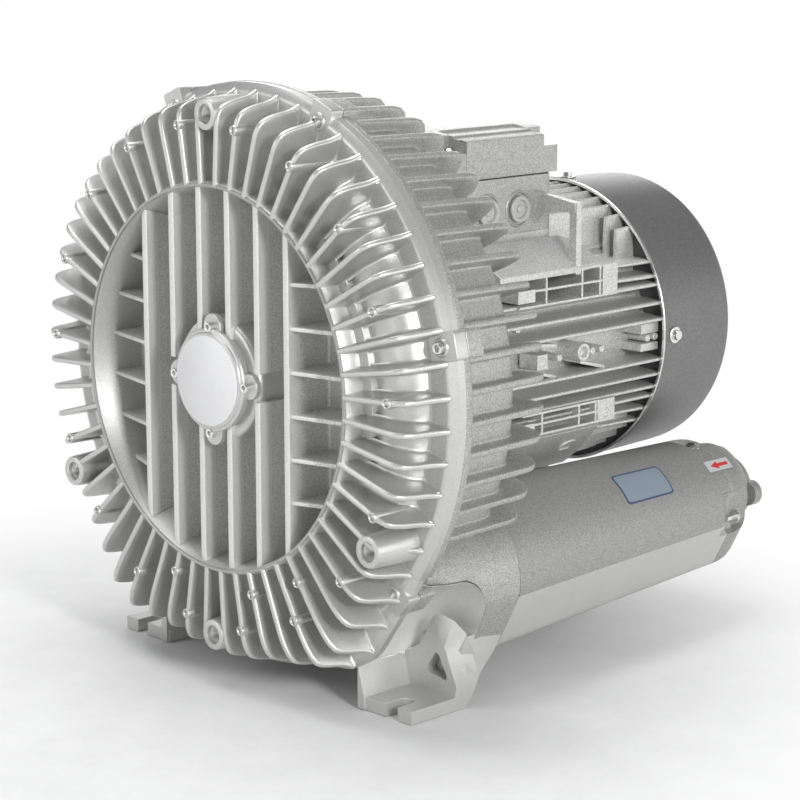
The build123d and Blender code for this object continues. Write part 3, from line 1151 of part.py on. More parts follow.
def all_pieces():
    """Every sub-part by its name, each as a list of solids."""
    sleeve = DRIVE_BEARING[0] + 3
    pieces = {
        "front_cover": front_cover(),
        "cover_screws": cover_screws(),
        "hub_cap": hub_cap(),
        "hub_cap_screws": hub_cap_screws(),
        "hub_disc": hub_disc(),
        "blower_housing": blower_housing(),
        "impeller": impeller(),
        "impeller_key": impeller_key(),
        "spacer_sleeves": spacer_sleeves(),
        "front_shaft_seal": shaft_seal(IMPELLER_SEAT_RADIUS + 5, SEAL_RADIUS, *FRONT_SEAL_Y),
        "drive_shaft_seal": shaft_seal(sleeve, DRIVE_SEAL_RADIUS, *DRIVE_SEAL_Y),
        "motor_shaft": motor_shaft(),
        "shaft_end_washer": shaft_end_washer(),
        "shaft_end_screw": shaft_end_screw(),
        "rotor_core": rotor_core(),
        "rotor_end_rings": rotor_end_rings(),
        "stator_core": stator_core(),
        "stator_winding": stator_winding(),
        "motor_frame": motor_frame(),
        "motor_flange_screws": motor_flange_screws(),
        "rear_end_shield": rear_end_shield(),
        "rear_shield_screws": rear_shield_screws(),
        "cooling_fan": cooling_fan(),
        "fan_clip": fan_clip(),
        "fan_cover": fan_cover(),
        "fan_cover_screws": fan_cover_screws(),
        "terminal_box": terminal_box(),
        "box_gasket": box_gasket(),
        "box_lid": box_lid(),
        "box_lid_screws": box_lid_screws(),
        "terminal_board": terminal_board(),
        "terminal_studs": terminal_studs(),
        "cable_plugs": cable_plugs(),
        "rear_foot": rear_foot(),
        "rear_foot_screws": rear_foot_screws(),
    }
    for name, bearing, y_front in (("front_bearing", FRONT_BEARING, FRONT_BEARING_Y),
                                   ("drive_bearing", DRIVE_BEARING, DRIVE_BEARING_Y),
                                   ("rear_bearing", REAR_BEARING, REAR_BEARING_Y)):
        outer_ring, inner_ring = bearing_rings(bearing, y_front)
        pieces[name + "_outer_ring"] = outer_ring
        pieces[name + "_inner_ring"] = inner_ring
        pieces[name + "_balls"] = ball_set(bearing, y_front)
    pieces["wave_spring"] = wave_spring(FRONT_BEARING[1], FRONT_SHOULDER_Y, WAVE_SPRING_DEPTH)
    for make, name in ((silencer, "silencer"), (silencer_foam, "foam"), (duct_gasket, "gasket"),
                       (end_cap, "end_cap"), (end_cap_screws, "cap_screws")):
        pieces.update(both_sides(make, name))
    return pieces


def main():
    """Write one STEP file for each sub-part."""
    os.makedirs("parts", exist_ok=True)
    place = Pos(0, -FOOT_SLOT_Y, SHAFT_HEIGHT)
    for name, shape in all_pieces().items():
        shapes = shape if isinstance(shape, list) else [shape]
        solids = [solid for piece in shapes for solid in piece.solids()]
        placed = [place * solid for solid in solids]
        export_step(placed[0] if len(placed) == 1 else Compound(children=placed), f"parts/{name}.step")


main()
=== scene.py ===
import json
import math
import bmesh
import bpy
import numpy as np
from mathutils import Matrix


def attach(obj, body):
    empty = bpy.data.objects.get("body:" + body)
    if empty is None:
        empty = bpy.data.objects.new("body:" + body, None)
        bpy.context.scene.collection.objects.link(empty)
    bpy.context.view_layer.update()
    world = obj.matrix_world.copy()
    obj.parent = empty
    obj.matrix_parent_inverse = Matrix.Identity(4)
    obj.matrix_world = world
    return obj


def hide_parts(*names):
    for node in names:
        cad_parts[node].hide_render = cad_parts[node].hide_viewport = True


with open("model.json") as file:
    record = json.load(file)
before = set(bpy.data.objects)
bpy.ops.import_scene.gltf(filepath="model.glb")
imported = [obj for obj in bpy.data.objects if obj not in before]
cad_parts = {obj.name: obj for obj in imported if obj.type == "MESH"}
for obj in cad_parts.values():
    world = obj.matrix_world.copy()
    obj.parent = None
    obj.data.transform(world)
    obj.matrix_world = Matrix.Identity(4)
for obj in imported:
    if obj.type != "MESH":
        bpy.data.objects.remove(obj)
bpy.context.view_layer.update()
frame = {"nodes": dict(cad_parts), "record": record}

# %% [markdown]
# A side channel blower is a ring-shaped casting with an electric motor behind it. The CAD frame
# gives every part its size and place. This lesson adds what castings have and plain solids lack:
# draft on the fins, soft edges, fillets at the roots and a grainy skin. The solids could be bevelled
# as they are, but a casting made anew as a surface keeps even grid lines, and they shade cleanly.
# Sizes are written in millimetres round the shaft, because every large form is turned round it, and
# one function moves them to the row frame in metres.

# %% Millimetres round the shaft
SHAFT = np.array([0.0, -0.0765, 0.297])


def to_row(points):
    """Row frame point = shaft centre + point in millimetres / 1000."""
    return np.asarray(points, dtype=float) / 1000.0 + SHAFT


def on_clock(radius, angle):
    """x = radius sin(angle), z = radius cos(angle): a clock face seen from the front."""
    turn = np.radians(angle)
    return radius * np.sin(turn), radius * np.cos(turn)


# %% [markdown]
# The camera comes first. It could be placed by eye, but circles seen at a slant are ellipses, and
# their widths and tilts give the direction and distance of the eye. So its place and its long lens
# were worked out from the circles and the fins, and the frame fills the view as the real one does.

# %% Camera
CAMERA_PLACE = (1.6724, -1.4613, 0.7310)
CAMERA_RIGHT = (0.6982, 0.7159, 0.0)
CAMERA_UP = (-0.1466, 0.1429, 0.9788)
CAMERA_BACK = (0.7007, -0.6834, 0.2047)
LENS = 107.58

camera_data = bpy.data.cameras.new("camera")
camera = bpy.data.objects.new("camera", camera_data)
bpy.context.scene.collection.objects.link(camera)
columns = np.array([CAMERA_RIGHT, CAMERA_UP, CAMERA_BACK, CAMERA_PLACE]).T
camera.matrix_world = Matrix(columns.tolist() + [[0, 0, 0, 1]])
camera_data.lens = LENS
camera_data.sensor_width = 36.0
camera_data.clip_end = 200.0
bpy.context.scene.camera = camera
print("camera lens", LENS)

# %% [markdown]
# Bare aluminium shows what stands round it, so the light decides how the castings look. A picture
# of a studio could light them, but square lamps can be set one by one. A small bright one on the
# right gives each fin a light side and a dark side. Large weak ones fill from above, the front, the
# right, the back and low down.

# %% Lamps
# Name, place in metres, side in metres, and watts
LAMPS = (("key", (2.90, -0.80, 1.2), 0.5, 50.0),
         ("top", (-0.5, 0.0, 2.8), 1.8, 46.0),
         ("front", (-1.5, -2.8, 1.5), 1.6, 20.0),
         ("right", (2.8, 1.3, 0.9), 1.4, 11.0),
         ("back", (-2.5, 3.0, 1.5), 1.8, 28.0),
         ("low", (1.3, -3.0, 0.35), 1.4, 7.0))
BLOWER_MIDDLE = np.array((0.0, 0.15, 0.28))


def lamp(name, place, size, watts):
    """Square area lamp that points at the middle of the blower."""
    data = bpy.data.lights.new(name, "AREA")
    data.size = size
    data.energy = watts
    obj = bpy.data.objects.new(name, data)
    obj.location = place
    aim = BLOWER_MIDDLE - np.array(place)
    flat = math.hypot(aim[0], aim[1])
    obj.rotation_euler = (math.atan2(flat, -aim[2]), 0.0, math.atan2(aim[1], aim[0]) - math.pi / 2)
    bpy.context.scene.collection.objects.link(obj)


for values in LAMPS:
    lamp(*values)
print("lamps", len(LAMPS))

# %% [markdown]
# The room is plain: an even pale light from all sides, and a white floor with low walls far away,
# so that a level view ends in white too. A curved backdrop would do the same, but it has to be
# turned for each view, and four far walls serve them all.

# %% Room and floor
ROOM_COLOUR = (0.97, 0.98, 1.0, 1.0)
ROOM_STRENGTH = 0.26
FLOOR_HALF = 20.0
FAR_WALL_HEIGHT = 5.5
FLOOR_DROP = 0.0005

scene = bpy.context.scene
scene.view_settings.view_transform = "Standard"
world = bpy.data.worlds.new("studio_room")
scene.world = world
world.use_nodes = True
room = world.node_tree
room.nodes.clear()
room_out = room.nodes.new("ShaderNodeOutputWorld")
room_light = room.nodes.new("ShaderNodeBackground")
room_light.inputs["Color"].default_value = ROOM_COLOUR
room_light.inputs["Strength"].default_value = ROOM_STRENGTH
room.links.new(room_light.outputs[0], room_out.inputs["Surface"])

corners = [(x * FLOOR_HALF, y * FLOOR_HALF, z) for z in (0.0, FAR_WALL_HEIGHT)
           for x, y in ((-1, -1), (1, -1), (1, 1), (-1, 1))]
far_walls = [(a, a + 4, (a + 1) % 4 + 4, (a + 1) % 4) for a in range(4)]
floor_mesh = bpy.data.meshes.new("floor")
floor_mesh.from_pydata(corners, [], [(0, 1, 2, 3)] + far_walls)
floor = bpy.data.objects.new("floor", floor_mesh)
floor.location.z = -FLOOR_DROP
scene.collection.objects.link(floor)
print("floor half width", FLOOR_HALF, "m")

# %% [markdown]
# A finish is built from nodes. A node group is a small machine with named sockets, which many
# materials can hold with values of their own, so that a grain is drawn once. The first helpers make
# a group and the sums in it.

# %% Node helpers
def new_group(name, inputs, outputs):
    """Shader node group with named sockets; returns it with its input and output nodes."""
    group = bpy.data.node_groups.new(name, "ShaderNodeTree")
    for socket, kind, value in inputs:
        item = group.interface.new_socket(socket, in_out="INPUT", socket_type=kind)
        item.default_value = value
    for socket, kind in outputs:
        group.interface.new_socket(socket, in_out="OUTPUT", socket_type=kind)
    return group, group.nodes.new("NodeGroupInput"), group.nodes.new("NodeGroupOutput")


def math_node(tree, operation, first, second):
    """Math node fed by sockets or plain numbers."""
    node = tree.nodes.new("ShaderNodeMath")
    node.operation = operation
    for socket, value in zip(node.inputs, (first, second)):
        if isinstance(value, (int, float)):
            socket.default_value = value
        else:
            tree.links.new(value, socket)
    return node.outputs[0]


def centred(tree, pattern, strength):
    """(pattern - 0.5) x strength, so that a pattern from 0 to 1 varies round nothing."""
    return math_node(tree, "MULTIPLY", math_node(tree, "SUBTRACT", pattern, 0.5), strength)


print("node kinds ready:", [helper.__name__ for helper in (new_group, math_node, centred)])

# %% [markdown]
# Casting leaves a skin of fine grains, and each grain catches the light at its own angle. A noise
# alone looks cloudy, so a cell pattern gives each grain its own tone and roughness, and a wide
# noise adds the uneven tone of a large casting.

# %% Cast skin
def cast_skin_group():
    """Tone = colour x (1 + grain x (cell - 0.5)); roughness and height follow the same cells."""
    group, into, out = new_group(
        "cast_skin",
        (("Colour", "NodeSocketColor", (0.6, 0.6, 0.6, 1)), ("Grains per metre", "NodeSocketFloat", 800.0),
         ("Grain", "NodeSocketFloat", 0.4), ("Mottle", "NodeSocketFloat", 0.1),
         ("Roughness", "NodeSocketFloat", 0.45)),
        (("Colour", "NodeSocketColor"), ("Roughness", "NodeSocketFloat"), ("Height", "NodeSocketFloat")))
    links = group.links
    place = group.nodes.new("ShaderNodeTexCoord")
    cells = group.nodes.new("ShaderNodeTexVoronoi")
    links.new(place.outputs["Object"], cells.inputs["Vector"])
    links.new(into.outputs["Grains per metre"], cells.inputs["Scale"])
    split = group.nodes.new("ShaderNodeSeparateColor")
    links.new(cells.outputs["Color"], split.inputs[0])
    cloud = group.nodes.new("ShaderNodeTexNoise")
    cloud.inputs["Scale"].default_value = 22.0
    cloud.inputs["Detail"].default_value = 4.0
    links.new(place.outputs["Object"], cloud.inputs["Vector"])
    grain = centred(group, split.outputs[0], into.outputs["Grain"])
    mottle = centred(group, cloud.outputs[0], into.outputs["Mottle"])
    tone = math_node(group, "ADD", math_node(group, "ADD", grain, mottle), 1.0)
    scale = group.nodes.new("ShaderNodeVectorMath")
    scale.operation = "SCALE"
    links.new(into.outputs["Colour"], scale.inputs[0])
    links.new(tone, scale.inputs["Scale"])
    links.new(scale.outputs[0], out.inputs["Colour"])
    rough = math_node(group, "MULTIPLY", centred(group, split.outputs[1], into.outputs["Grain"]), 0.4)
    links.new(math_node(group, "ADD", rough, into.outputs["Roughness"]), out.inputs["Roughness"])
    links.new(split.outputs[2], out.inputs["Height"])
    return group


CAST_SKIN = cast_skin_group()
print("sockets of the cast skin", len(CAST_SKIN.interface.items_tree))

# %% [markdown]
# Turned and plated steel has fine lines. The same noise makes them when it is stretched: many
# changes along the shaft and few across it.

# %% Turned steel
def turned_steel_group():
    """Fine uneven streaks: noise stretched along the shaft, for plated and turned steel."""
    group, into, out = new_group(
        "turned_steel",
        (("Colour", "NodeSocketColor", (0.7, 0.7, 0.7, 1)), ("Streak", "NodeSocketFloat", 0.15),
         ("Roughness", "NodeSocketFloat", 0.28)),
        (("Colour", "NodeSocketColor"), ("Roughness", "NodeSocketFloat"), ("Height", "NodeSocketFloat")))
    links = group.links
    place = group.nodes.new("ShaderNodeTexCoord")
    stretch = group.nodes.new("ShaderNodeMapping")
    stretch.inputs["Scale"].default_value = (260.0, 1800.0, 260.0)
    links.new(place.outputs["Object"], stretch.inputs["Vector"])
    noise = group.nodes.new("ShaderNodeTexNoise")
    noise.inputs["Scale"].default_value = 1.0
    links.new(stretch.outputs[0], noise.inputs["Vector"])
    streak = centred(group, noise.outputs[0], into.outputs["Streak"])
    scale = group.nodes.new("ShaderNodeVectorMath")
    scale.operation = "SCALE"
    links.new(into.outputs["Colour"], scale.inputs[0])
    links.new(math_node(group, "ADD", streak, 1.0), scale.inputs["Scale"])
    links.new(scale.outputs[0], out.inputs["Colour"])
    links.new(math_node(group, "ADD", streak, into.outputs["Roughness"]), out.inputs["Roughness"])
    links.new(noise.outputs[0], out.inputs["Height"])
    return group


TURNED_STEEL = turned_steel_group()
print("sockets of the turned steel", len(TURNED_STEEL.interface.items_tree))

# %% [markdown]
# Each finish is a material with one of the groups in it. Die-cast parts are smooth, sand-cast ones
# grainy, and paint, plastic and stickers are the same skin with less grain and no metal. One
# finish for all castings would be simpler, but on the real blower the parts differ in tone.

# %% Finishes
def finish_from(name, group, values, metallic, bump, depth=0.0004):
    """Material whose colour, roughness and bump come from a shader group."""
    material = bpy.data.materials.new(name)
    material.use_nodes = True
    tree = material.node_tree
    shader = tree.nodes["Principled BSDF"]
    shader.inputs["Metallic"].default_value = metallic
    skin = tree.nodes.new("ShaderNodeGroup")
    skin.node_tree = group
    for socket, value in values.items():
        skin.inputs[socket].default_value = value if isinstance(value, float) else (*value, 1.0)
    lift = tree.nodes.new("ShaderNodeBump")
    lift.inputs["Strength"].default_value = bump
    lift.inputs["Distance"].default_value = depth
    tree.links.new(skin.outputs["Colour"], shader.inputs["Base Color"])
    tree.links.new(skin.outputs["Roughness"], shader.inputs["Roughness"])
    tree.links.new(skin.outputs["Height"], lift.inputs["Height"])
    tree.links.new(lift.outputs["Normal"], shader.inputs["Normal"])
    return material


def cast(name, colour, grains, grain, roughness, metallic=0.85, bump=0.25, mottle=0.12):
    """Casting, paint or moulded finish from the grainy skin; grains are counted per metre."""
    values = {"Colour": colour, "Grains per metre": grains, "Grain": grain,
              "Mottle": mottle, "Roughness": roughness}
    return finish_from(name, CAST_SKIN, values, metallic, bump)


def steel(name, colour, roughness, streak=0.15):
    """Turned, plated or ground steel."""
    values = {"Colour": colour, "Streak": streak, "Roughness": roughness}
    return finish_from(name, TURNED_STEEL, values, 1.0, 0.08)


ROUGH_CASTING = cast("rough_casting", (0.43, 0.43, 0.42), 1400.0, 0.7, 0.42, metallic=0.55)
SMOOTH_CASTING = cast("smooth_casting", (0.59, 0.59, 0.58), 1800.0, 0.2, 0.36, metallic=0.65, bump=0.08)
# Lighter than the recess casting: a painted highlight for the fronts of the recess fins.
EDGE_HIGHLIGHT_CASTING = cast("edge_casting_painted_highlight", (0.74, 0.74, 0.73), 1800.0, 0.2, 0.36, metallic=0.55, bump=0.08)
RECESS_CASTING = cast("recess_casting", (0.65, 0.65, 0.64), 1300.0, 0.5, 0.5, metallic=0.4)
FOOT_CASTING = cast("foot_casting", (0.58, 0.58, 0.57), 1800.0, 0.16, 0.4, metallic=0.5, bump=0.08)
# Much paler than the foot: painted light for the lit hollow of the scoop.
SCOOP_PAINTED_LIGHT = cast("scoop_casting_painted_light", (0.84, 0.84, 0.83), 1800.0, 0.16, 0.4, metallic=0.5, bump=0.08)
SILENCER_CASTING = cast("silencer_casting", (0.35, 0.35, 0.34), 1600.0, 0.55, 0.5, metallic=0.5,
                        mottle=0.05)
MOTOR_CASTING = cast("motor_casting", (0.64, 0.64, 0.63), 1400.0, 0.6, 0.42, metallic=0.5)
FLANK_CASTING = cast("flank_casting", (0.52, 0.52, 0.51), 1800.0, 0.12, 0.5, metallic=0.3, bump=0.05)
LABEL_GREY = cast("label_grey", (0.60, 0.60, 0.60), 1500.0, 0.05, 0.4, metallic=0.2, bump=0.02)
FLANGE_CASTING = cast("flange_casting", (0.48, 0.48, 0.47), 1600.0, 0.3, 0.45, metallic=0.6, bump=0.12)
LIP_CASTING = cast("lip_casting", (0.40, 0.40, 0.40), 1800.0, 0.14, 0.4, metallic=0.7, bump=0.05)
SHADOW_GREY = cast("shaded_casting", (0.10, 0.10, 0.10), 1300.0, 0.3, 0.7, metallic=0.2)
COVER_PAINT = cast("fan_cover_paint", (0.21, 0.21, 0.21), 1500.0, 0.5, 0.46, metallic=0.6, bump=0.15)
ZINC = steel("zinc_plate", (0.80, 0.80, 0.78), 0.24)
SHAFT_STEEL = steel("shaft_steel", (0.6, 0.6, 0.61), 0.3)
BEARING_STEEL = steel("bearing_steel", (0.72, 0.72, 0.74), 0.14)
CORE_STEEL = steel("laminated_steel", (0.36, 0.36, 0.38), 0.5, 0.4)
GALVANISED = cast("galvanised_steel", (0.52, 0.53, 0.54), 160.0, 0.25, 0.4, mottle=0.3)
BRASS = steel("stud_brass", (0.78, 0.58, 0.28), 0.25)
WINDING = cast("winding_enamel", (0.45, 0.16, 0.06), 900.0, 0.5, 0.35, metallic=0.5)
RUBBER = cast("black_rubber", (0.03, 0.03, 0.03), 1500.0, 0.3, 0.7, metallic=0.0)
DARK_PLASTIC = cast("dark_plastic", (0.045, 0.045, 0.05), 1200.0, 0.2, 0.5, metallic=0.0)
GREY_PLASTIC = cast("plug_plastic", (0.50, 0.50, 0.49), 1100.0, 0.15, 0.45, metallic=0.3)
FOAM = cast("liner_foam", (0.06, 0.06, 0.065), 500.0, 1.0, 0.95, metallic=0.0, bump=0.8)
PALE_DISC = cast("pale_disc", (0.84, 0.84, 0.85), 1500.0, 0.05, 0.4, metallic=0.0, bump=0.02)
STICKER = cast("blue_grey_sticker", (0.23, 0.28, 0.33), 1500.0, 0.06, 0.4, metallic=0.0, bump=0.02)
STICKER_EDGE = cast("sticker_border", (0.06, 0.09, 0.16), 1500.0, 0.06, 0.4, metallic=0.0, bump=0.02)
ARROW_RED = cast("arrow_red", (0.55, 0.03, 0.03), 1500.0, 0.08, 0.45, metallic=0.0, bump=0.02)
print("finishes", len(bpy.data.materials))

# %% [markdown]
# The floor is matt and nearly white, and the shadow on it says that the blower stands there. Lamps
# strong enough to make it white would bleach the castings. So, some way from the middle, it shows
# plain white to the camera and in reflections, and it sends no more light to the blower.

# %% Floor finish
FLOOR_WHITE = cast("floor_white", (0.86, 0.86, 0.86), 300.0, 0.02, 0.8, metallic=0.0, bump=0.0)


def fade_to_white(material, near, far):
    """Away from the middle the floor glows white for the camera, mirrors and glass, so only the
    shadow near the blower shows: share = smooth step of the distance between near and far."""
    tree = material.node_tree
    place = tree.nodes.new("ShaderNodeTexCoord")
    distance = tree.nodes.new("ShaderNodeVectorMath")
    distance.operation = "LENGTH"
    tree.links.new(place.outputs["Object"], distance.inputs[0])
    share = tree.nodes.new("ShaderNodeMapRange")
    share.interpolation_type = "SMOOTHSTEP"
    share.inputs["From Min"].default_value = near
    share.inputs["From Max"].default_value = far
    tree.links.new(distance.outputs["Value"], share.inputs["Value"])
    path = tree.nodes.new("ShaderNodeLightPath")
    seen = math_node(tree, "MAXIMUM", path.outputs["Is Camera Ray"], path.outputs["Is Glossy Ray"])
    seen = math_node(tree, "MAXIMUM", seen, path.outputs["Is Transmission Ray"])
    glow = tree.nodes.new("ShaderNodeEmission")
    mix = tree.nodes.new("ShaderNodeMixShader")
    tree.links.new(math_node(tree, "MULTIPLY", seen, share.outputs[0]), mix.inputs[0])
    tree.links.new(tree.nodes["Principled BSDF"].outputs[0], mix.inputs[1])
    tree.links.new(glow.outputs[0], mix.inputs[2])
    tree.links.new(mix.outputs[0], tree.nodes["Material Output"].inputs["Surface"])


fade_to_white(FLOOR_WHITE, 0.3, 0.75)
floor_mesh.materials.append(FLOOR_WHITE)
print("floor finish", floor_mesh.materials[0].name)

# %% [markdown]
# Every new piece is made of closed tubes. A tube is a row of rings, each ring is a closed loop of
# points, and the whole tube is one numpy array with the shape (rings, points, 3). A turned body is
# a tube whose rings go round the shaft and meet again, and a fin is a tube with two closed ends.
# Blender's own primitives and joins could make the same forms, but one function for all tubes
# keeps every face outwards and every end closed.

# %% From arrays to a mesh
SHARP_ANGLE = 38.0


def tube_faces(copies, rings, points, joined):
    """Corner numbers of the four-sided faces between rings, and of the two end faces."""
    index = np.arange(copies * rings * points).reshape(copies, rings, points)
    ahead = np.roll(index, -1, axis=2)
    near, far = (index, np.roll(index, -1, axis=1)) if joined else (index[:, :-1], index[:, 1:])
    near_ahead, far_ahead = (ahead, np.roll(ahead, -1, axis=1)) if joined else (ahead[:, :-1], ahead[:, 1:])
    sides = np.stack([near, near_ahead, far_ahead, far], axis=-1).reshape(-1, 4)
    if joined:
        return sides, np.empty((0, points), dtype=int)
    return sides, np.concatenate([index[:, 0, ::-1], index[:, -1]])


def mesh_of(name, tubes):
    """Mesh of many tubes. Each entry is (array of shape copies x rings x points x 3, joined)."""
    corners, totals, places = [], [], []
    first = 0
    for stack, joined in tubes:
        stack = np.asarray(stack, dtype=float)
        stack = stack if stack.ndim == 4 else stack[None]
        for faces in tube_faces(*stack.shape[:3], joined):
            if len(faces):
                corners.append((faces + first).ravel())
                totals.append(np.full(len(faces), faces.shape[1]))
        places.append(stack.reshape(-1, 3))
        first += len(places[-1])
    places, corners, totals = np.concatenate(places), np.concatenate(corners), np.concatenate(totals)
    starts = np.concatenate([[0], np.cumsum(totals)[:-1]])
    mesh = bpy.data.meshes.new(name)
    mesh.vertices.add(len(places))
    mesh.vertices.foreach_set("co", to_row(places).ravel())
    mesh.loops.add(len(corners))
    mesh.loops.foreach_set("vertex_index", corners)
    mesh.polygons.add(len(totals))
    mesh.polygons.foreach_set("loop_start", starts)
    mesh.polygons.foreach_set("loop_total", totals)
    mesh.update(calc_edges=True)
    mesh.validate()
    return mesh


print("faces of a tube of 3 rings with 4 points", sum(len(rows) for rows in tube_faces(1, 3, 4, False)))

# %% [markdown]
# A mesh becomes a piece when it has a finish, soft edges, a body that it rides on and the CAD nodes
# that it stands for. Doubles are merged first, so that each tube is closed, and then the faces are
# turned outwards.

# %% From a mesh to a piece
def piece(name, tubes, material, body="frame", bevel=0.0, replaces=(), second=None):
    """Object from tubes: doubles merged, faces turned outwards, soft shading, optional bevel in mm.
    second is (material, test), where test picks faces by their centres in millimetres."""
    mesh = mesh_of(name, tubes)
    work = bmesh.new()
    work.from_mesh(mesh)
    bmesh.ops.remove_doubles(work, verts=work.verts, dist=1e-6)
    bmesh.ops.recalc_face_normals(work, faces=work.faces)
    work.to_mesh(mesh)
    work.free()
    mesh.polygons.foreach_set("use_smooth", np.ones(len(mesh.polygons), dtype=bool))
    mesh.set_sharp_from_angle(angle=math.radians(SHARP_ANGLE))
    mesh.materials.append(material)
    if second:
        mesh.materials.append(second[0])
        centres = np.empty(len(mesh.polygons) * 3)
        mesh.polygons.foreach_get("center", centres)
        picked = second[1]((centres.reshape(-1, 3) - SHAFT) * 1000.0)
        mesh.polygons.foreach_set("material_index", picked.astype(np.int32))
    obj = bpy.data.objects.new(name, mesh)
    bpy.context.scene.collection.objects.link(obj)
    if bevel:
        soft = obj.modifiers.new("soft_edges", "BEVEL")
        soft.width = bevel / 1000.0
        soft.segments = 2
        soft.limit_method = "ANGLE"
        soft.angle_limit = math.radians(SHARP_ANGLE)
        soft.harden_normals = True
    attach(obj, body)
    if replaces:
        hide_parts(*replaces)
    print(name, "faces", len(mesh.polygons))
    return obj


# %% [markdown]
# A few small shape makers do most of the work. Turning carries a profile round an axis, as a lathe
# does. A softened outline swaps each corner for a short curve. A prism is an outline with
# thickness.

# %% Outlines, turned bodies and prisms
def softened(points, radius, steps=4, closed=True):
    """Each corner P becomes (1-t)^2 A + 2t(1-t) P + t^2 B, with A and B at most radius from P."""
    points = np.asarray(points, dtype=float)
    radius = np.broadcast_to(np.asarray(radius, dtype=float), len(points))
    before, after = np.roll(points, 1, axis=0) - points, np.roll(points, -1, axis=0) - points
    t = np.linspace(0, 1, steps)[:, None]
    out = []
    for k, corner in enumerate(points):
        if (not closed and k in (0, len(points) - 1)) or radius[k] == 0:
            out.append(corner[None])
            continue
        sides = [np.linalg.norm(way) for way in (before[k], after[k])]
        reach = [min(radius[k], side * 0.48) / side for side in sides]
        start, end = corner + before[k] * reach[0], corner + after[k] * reach[1]
        out.append((1 - t) ** 2 * start + 2 * t * (1 - t) * corner + t ** 2 * end)
    return np.concatenate(out)


def turned(profile, steps=160, x=0.0, z=0.0):
    """Ring of the closed (radius, y) profile at each angle a: (x + r sin a, y, z + r cos a)."""
    profile = np.asarray(profile, dtype=float)
    turn = np.linspace(0, 2 * math.pi, steps, endpoint=False)[:, None]
    depth = np.broadcast_to(profile[:, 1], (steps, len(profile)))
    grid = np.stack([x + profile[:, 0] * np.sin(turn), depth,
                     z + profile[:, 0] * np.cos(turn)], axis=-1)
    return grid, True


def prism(outline, axis, low, high):
    """Outline in the plane across an axis, at two heights; axis 0 takes (y, z), 1 (x, z), 2 (x, y)."""
    outline = np.asarray(outline, dtype=float)
    rings = np.stack([np.insert(outline, axis, height, axis=1) for height in (low, high)])
    return rings, False


def block(x, y, z):
    """Box between two values on each axis."""
    return prism([(x[0], y[0]), (x[1], y[0]), (x[1], y[1]), (x[0], y[1])], 2, *z)


def flipped(tubes):
    """The same tubes mirrored to the left side: x becomes -x."""
    return [(np.asarray(stack) * (-1, 1, 1), joined) for stack, joined in tubes]


square = softened([(-10, -10), (10, -10), (10, 10), (-10, 10)], 2.0)
print("points of a softened square", len(square))

# %% [markdown]
# Screws, bosses and ports point in many directions. Each is drawn once along +Z and then aimed, and
# a ring of it can be a circle or a polygon, so one maker serves round and hexagonal forms.

# %% Aimed and spun forms
def aimed(grid, place, way):
    """Turns a grid made along +Z so that it points along way, and moves it to place."""
    way = np.asarray(way, dtype=float) / np.linalg.norm(way)
    side = np.cross((0, 0, 1), way) if abs(way[2]) < 0.9 else np.array((1.0, 0, 0))
    side = side / np.linalg.norm(side)
    return np.asarray(grid) @ np.stack([side, np.cross(way, side), way]) + np.asarray(place)


def spun(outline, steps=32, sides=None):
    """Tube along +Z from (radius, height) pairs; where sides gives a number, that ring is a polygon."""
    outline = np.asarray(outline, dtype=float)
    sides = sides or [0] * len(outline)
    turn = np.linspace(0, 2 * math.pi, steps, endpoint=False)
    rings = []
    for (radius, height), count in zip(outline, sides):
        step = 2 * math.pi / count if count else 1.0
        shape = np.cos(step / 2) / np.cos((turn % step) - step / 2) if count else np.ones(steps)
        rings.append(np.stack([radius * shape * np.cos(turn), radius * shape * np.sin(turn),
                               np.full(steps, height)], axis=-1))
    return np.stack(rings)


print("shape of a spun cone", spun([(10, 0), (0.1, 12)]).shape)

# %% [markdown]
# A cast fin is thinner at its tip than at its root, so that it leaves the mould, its tip is rounded,
# and a fillet joins it to the wall. A plate with a bevel lacks the fillet. So two curves say where
# one fin runs, its root on the wall and its tip, and each ring of the tube is a slice from root to
# tip. All fins of a row are turned copies of the first one.

# %% Cast fins
def fin(root, tip, side, root_half=3.6, tip_half=2.4, fillet=3.0, buried=2.0, round_share=0.8):
    """Slice at height h: half width falls evenly from root_half to tip_half, plus a fillet
    f - sqrt(f^2 - (f - h)^2) near the root, and a tip rounded over its share of tip_half."""
    root, tip, side = (np.asarray(v, dtype=float) for v in (root, tip, side))
    reach = np.linalg.norm(tip - root, axis=1)[:, None]
    way = (tip - root) / np.maximum(reach, 1e-6)
    low = fillet * np.array([0.0, 0.06, 0.22, 0.5, 1.0])
    fillet_add = fillet - np.sqrt(np.maximum(fillet ** 2 - (fillet - low) ** 2, 0))
    fillet_add = np.append(fillet_add, [0, 0])
    arc = np.radians([0, 30, 60, 90])
    soft = tip_half * round_share
    ramp = np.broadcast_to(low, (len(root), 5))
    middle = low[-1] + (reach - soft - low[-1]) * np.array([0.35, 0.7])
    heights = np.hstack([np.full((len(root), 1), -buried), ramp, middle, reach - soft + soft * np.sin(arc)])
    halves = root_half + (tip_half - root_half) * np.clip(heights / np.maximum(reach, 1e-6), 0, 1)
    halves[:, 1:8] += fillet_add
    halves[:, 0] += fillet
    halves[:, 8:] = tip_half - soft + soft * np.cos(arc)
    up = np.concatenate([heights, heights[:, ::-1]], axis=1)[..., None]
    out = np.concatenate([halves, -halves[:, ::-1]], axis=1)[..., None]
    return root[:, None] + way[:, None] * up + side * out


def turned_copies(grid, angles):
    """Copies of a grid drawn at +X, turned to clock angles."""
    turn = np.radians(np.asarray(angles) - 90.0)[:, None, None]
    x, y, z = grid[..., 0], grid[..., 1], grid[..., 2]
    return np.stack([x * np.cos(turn) + z * np.sin(turn), np.broadcast_to(y, (len(angles),) + y.shape),
                     -x * np.sin(turn) + z * np.cos(turn)], axis=-1)


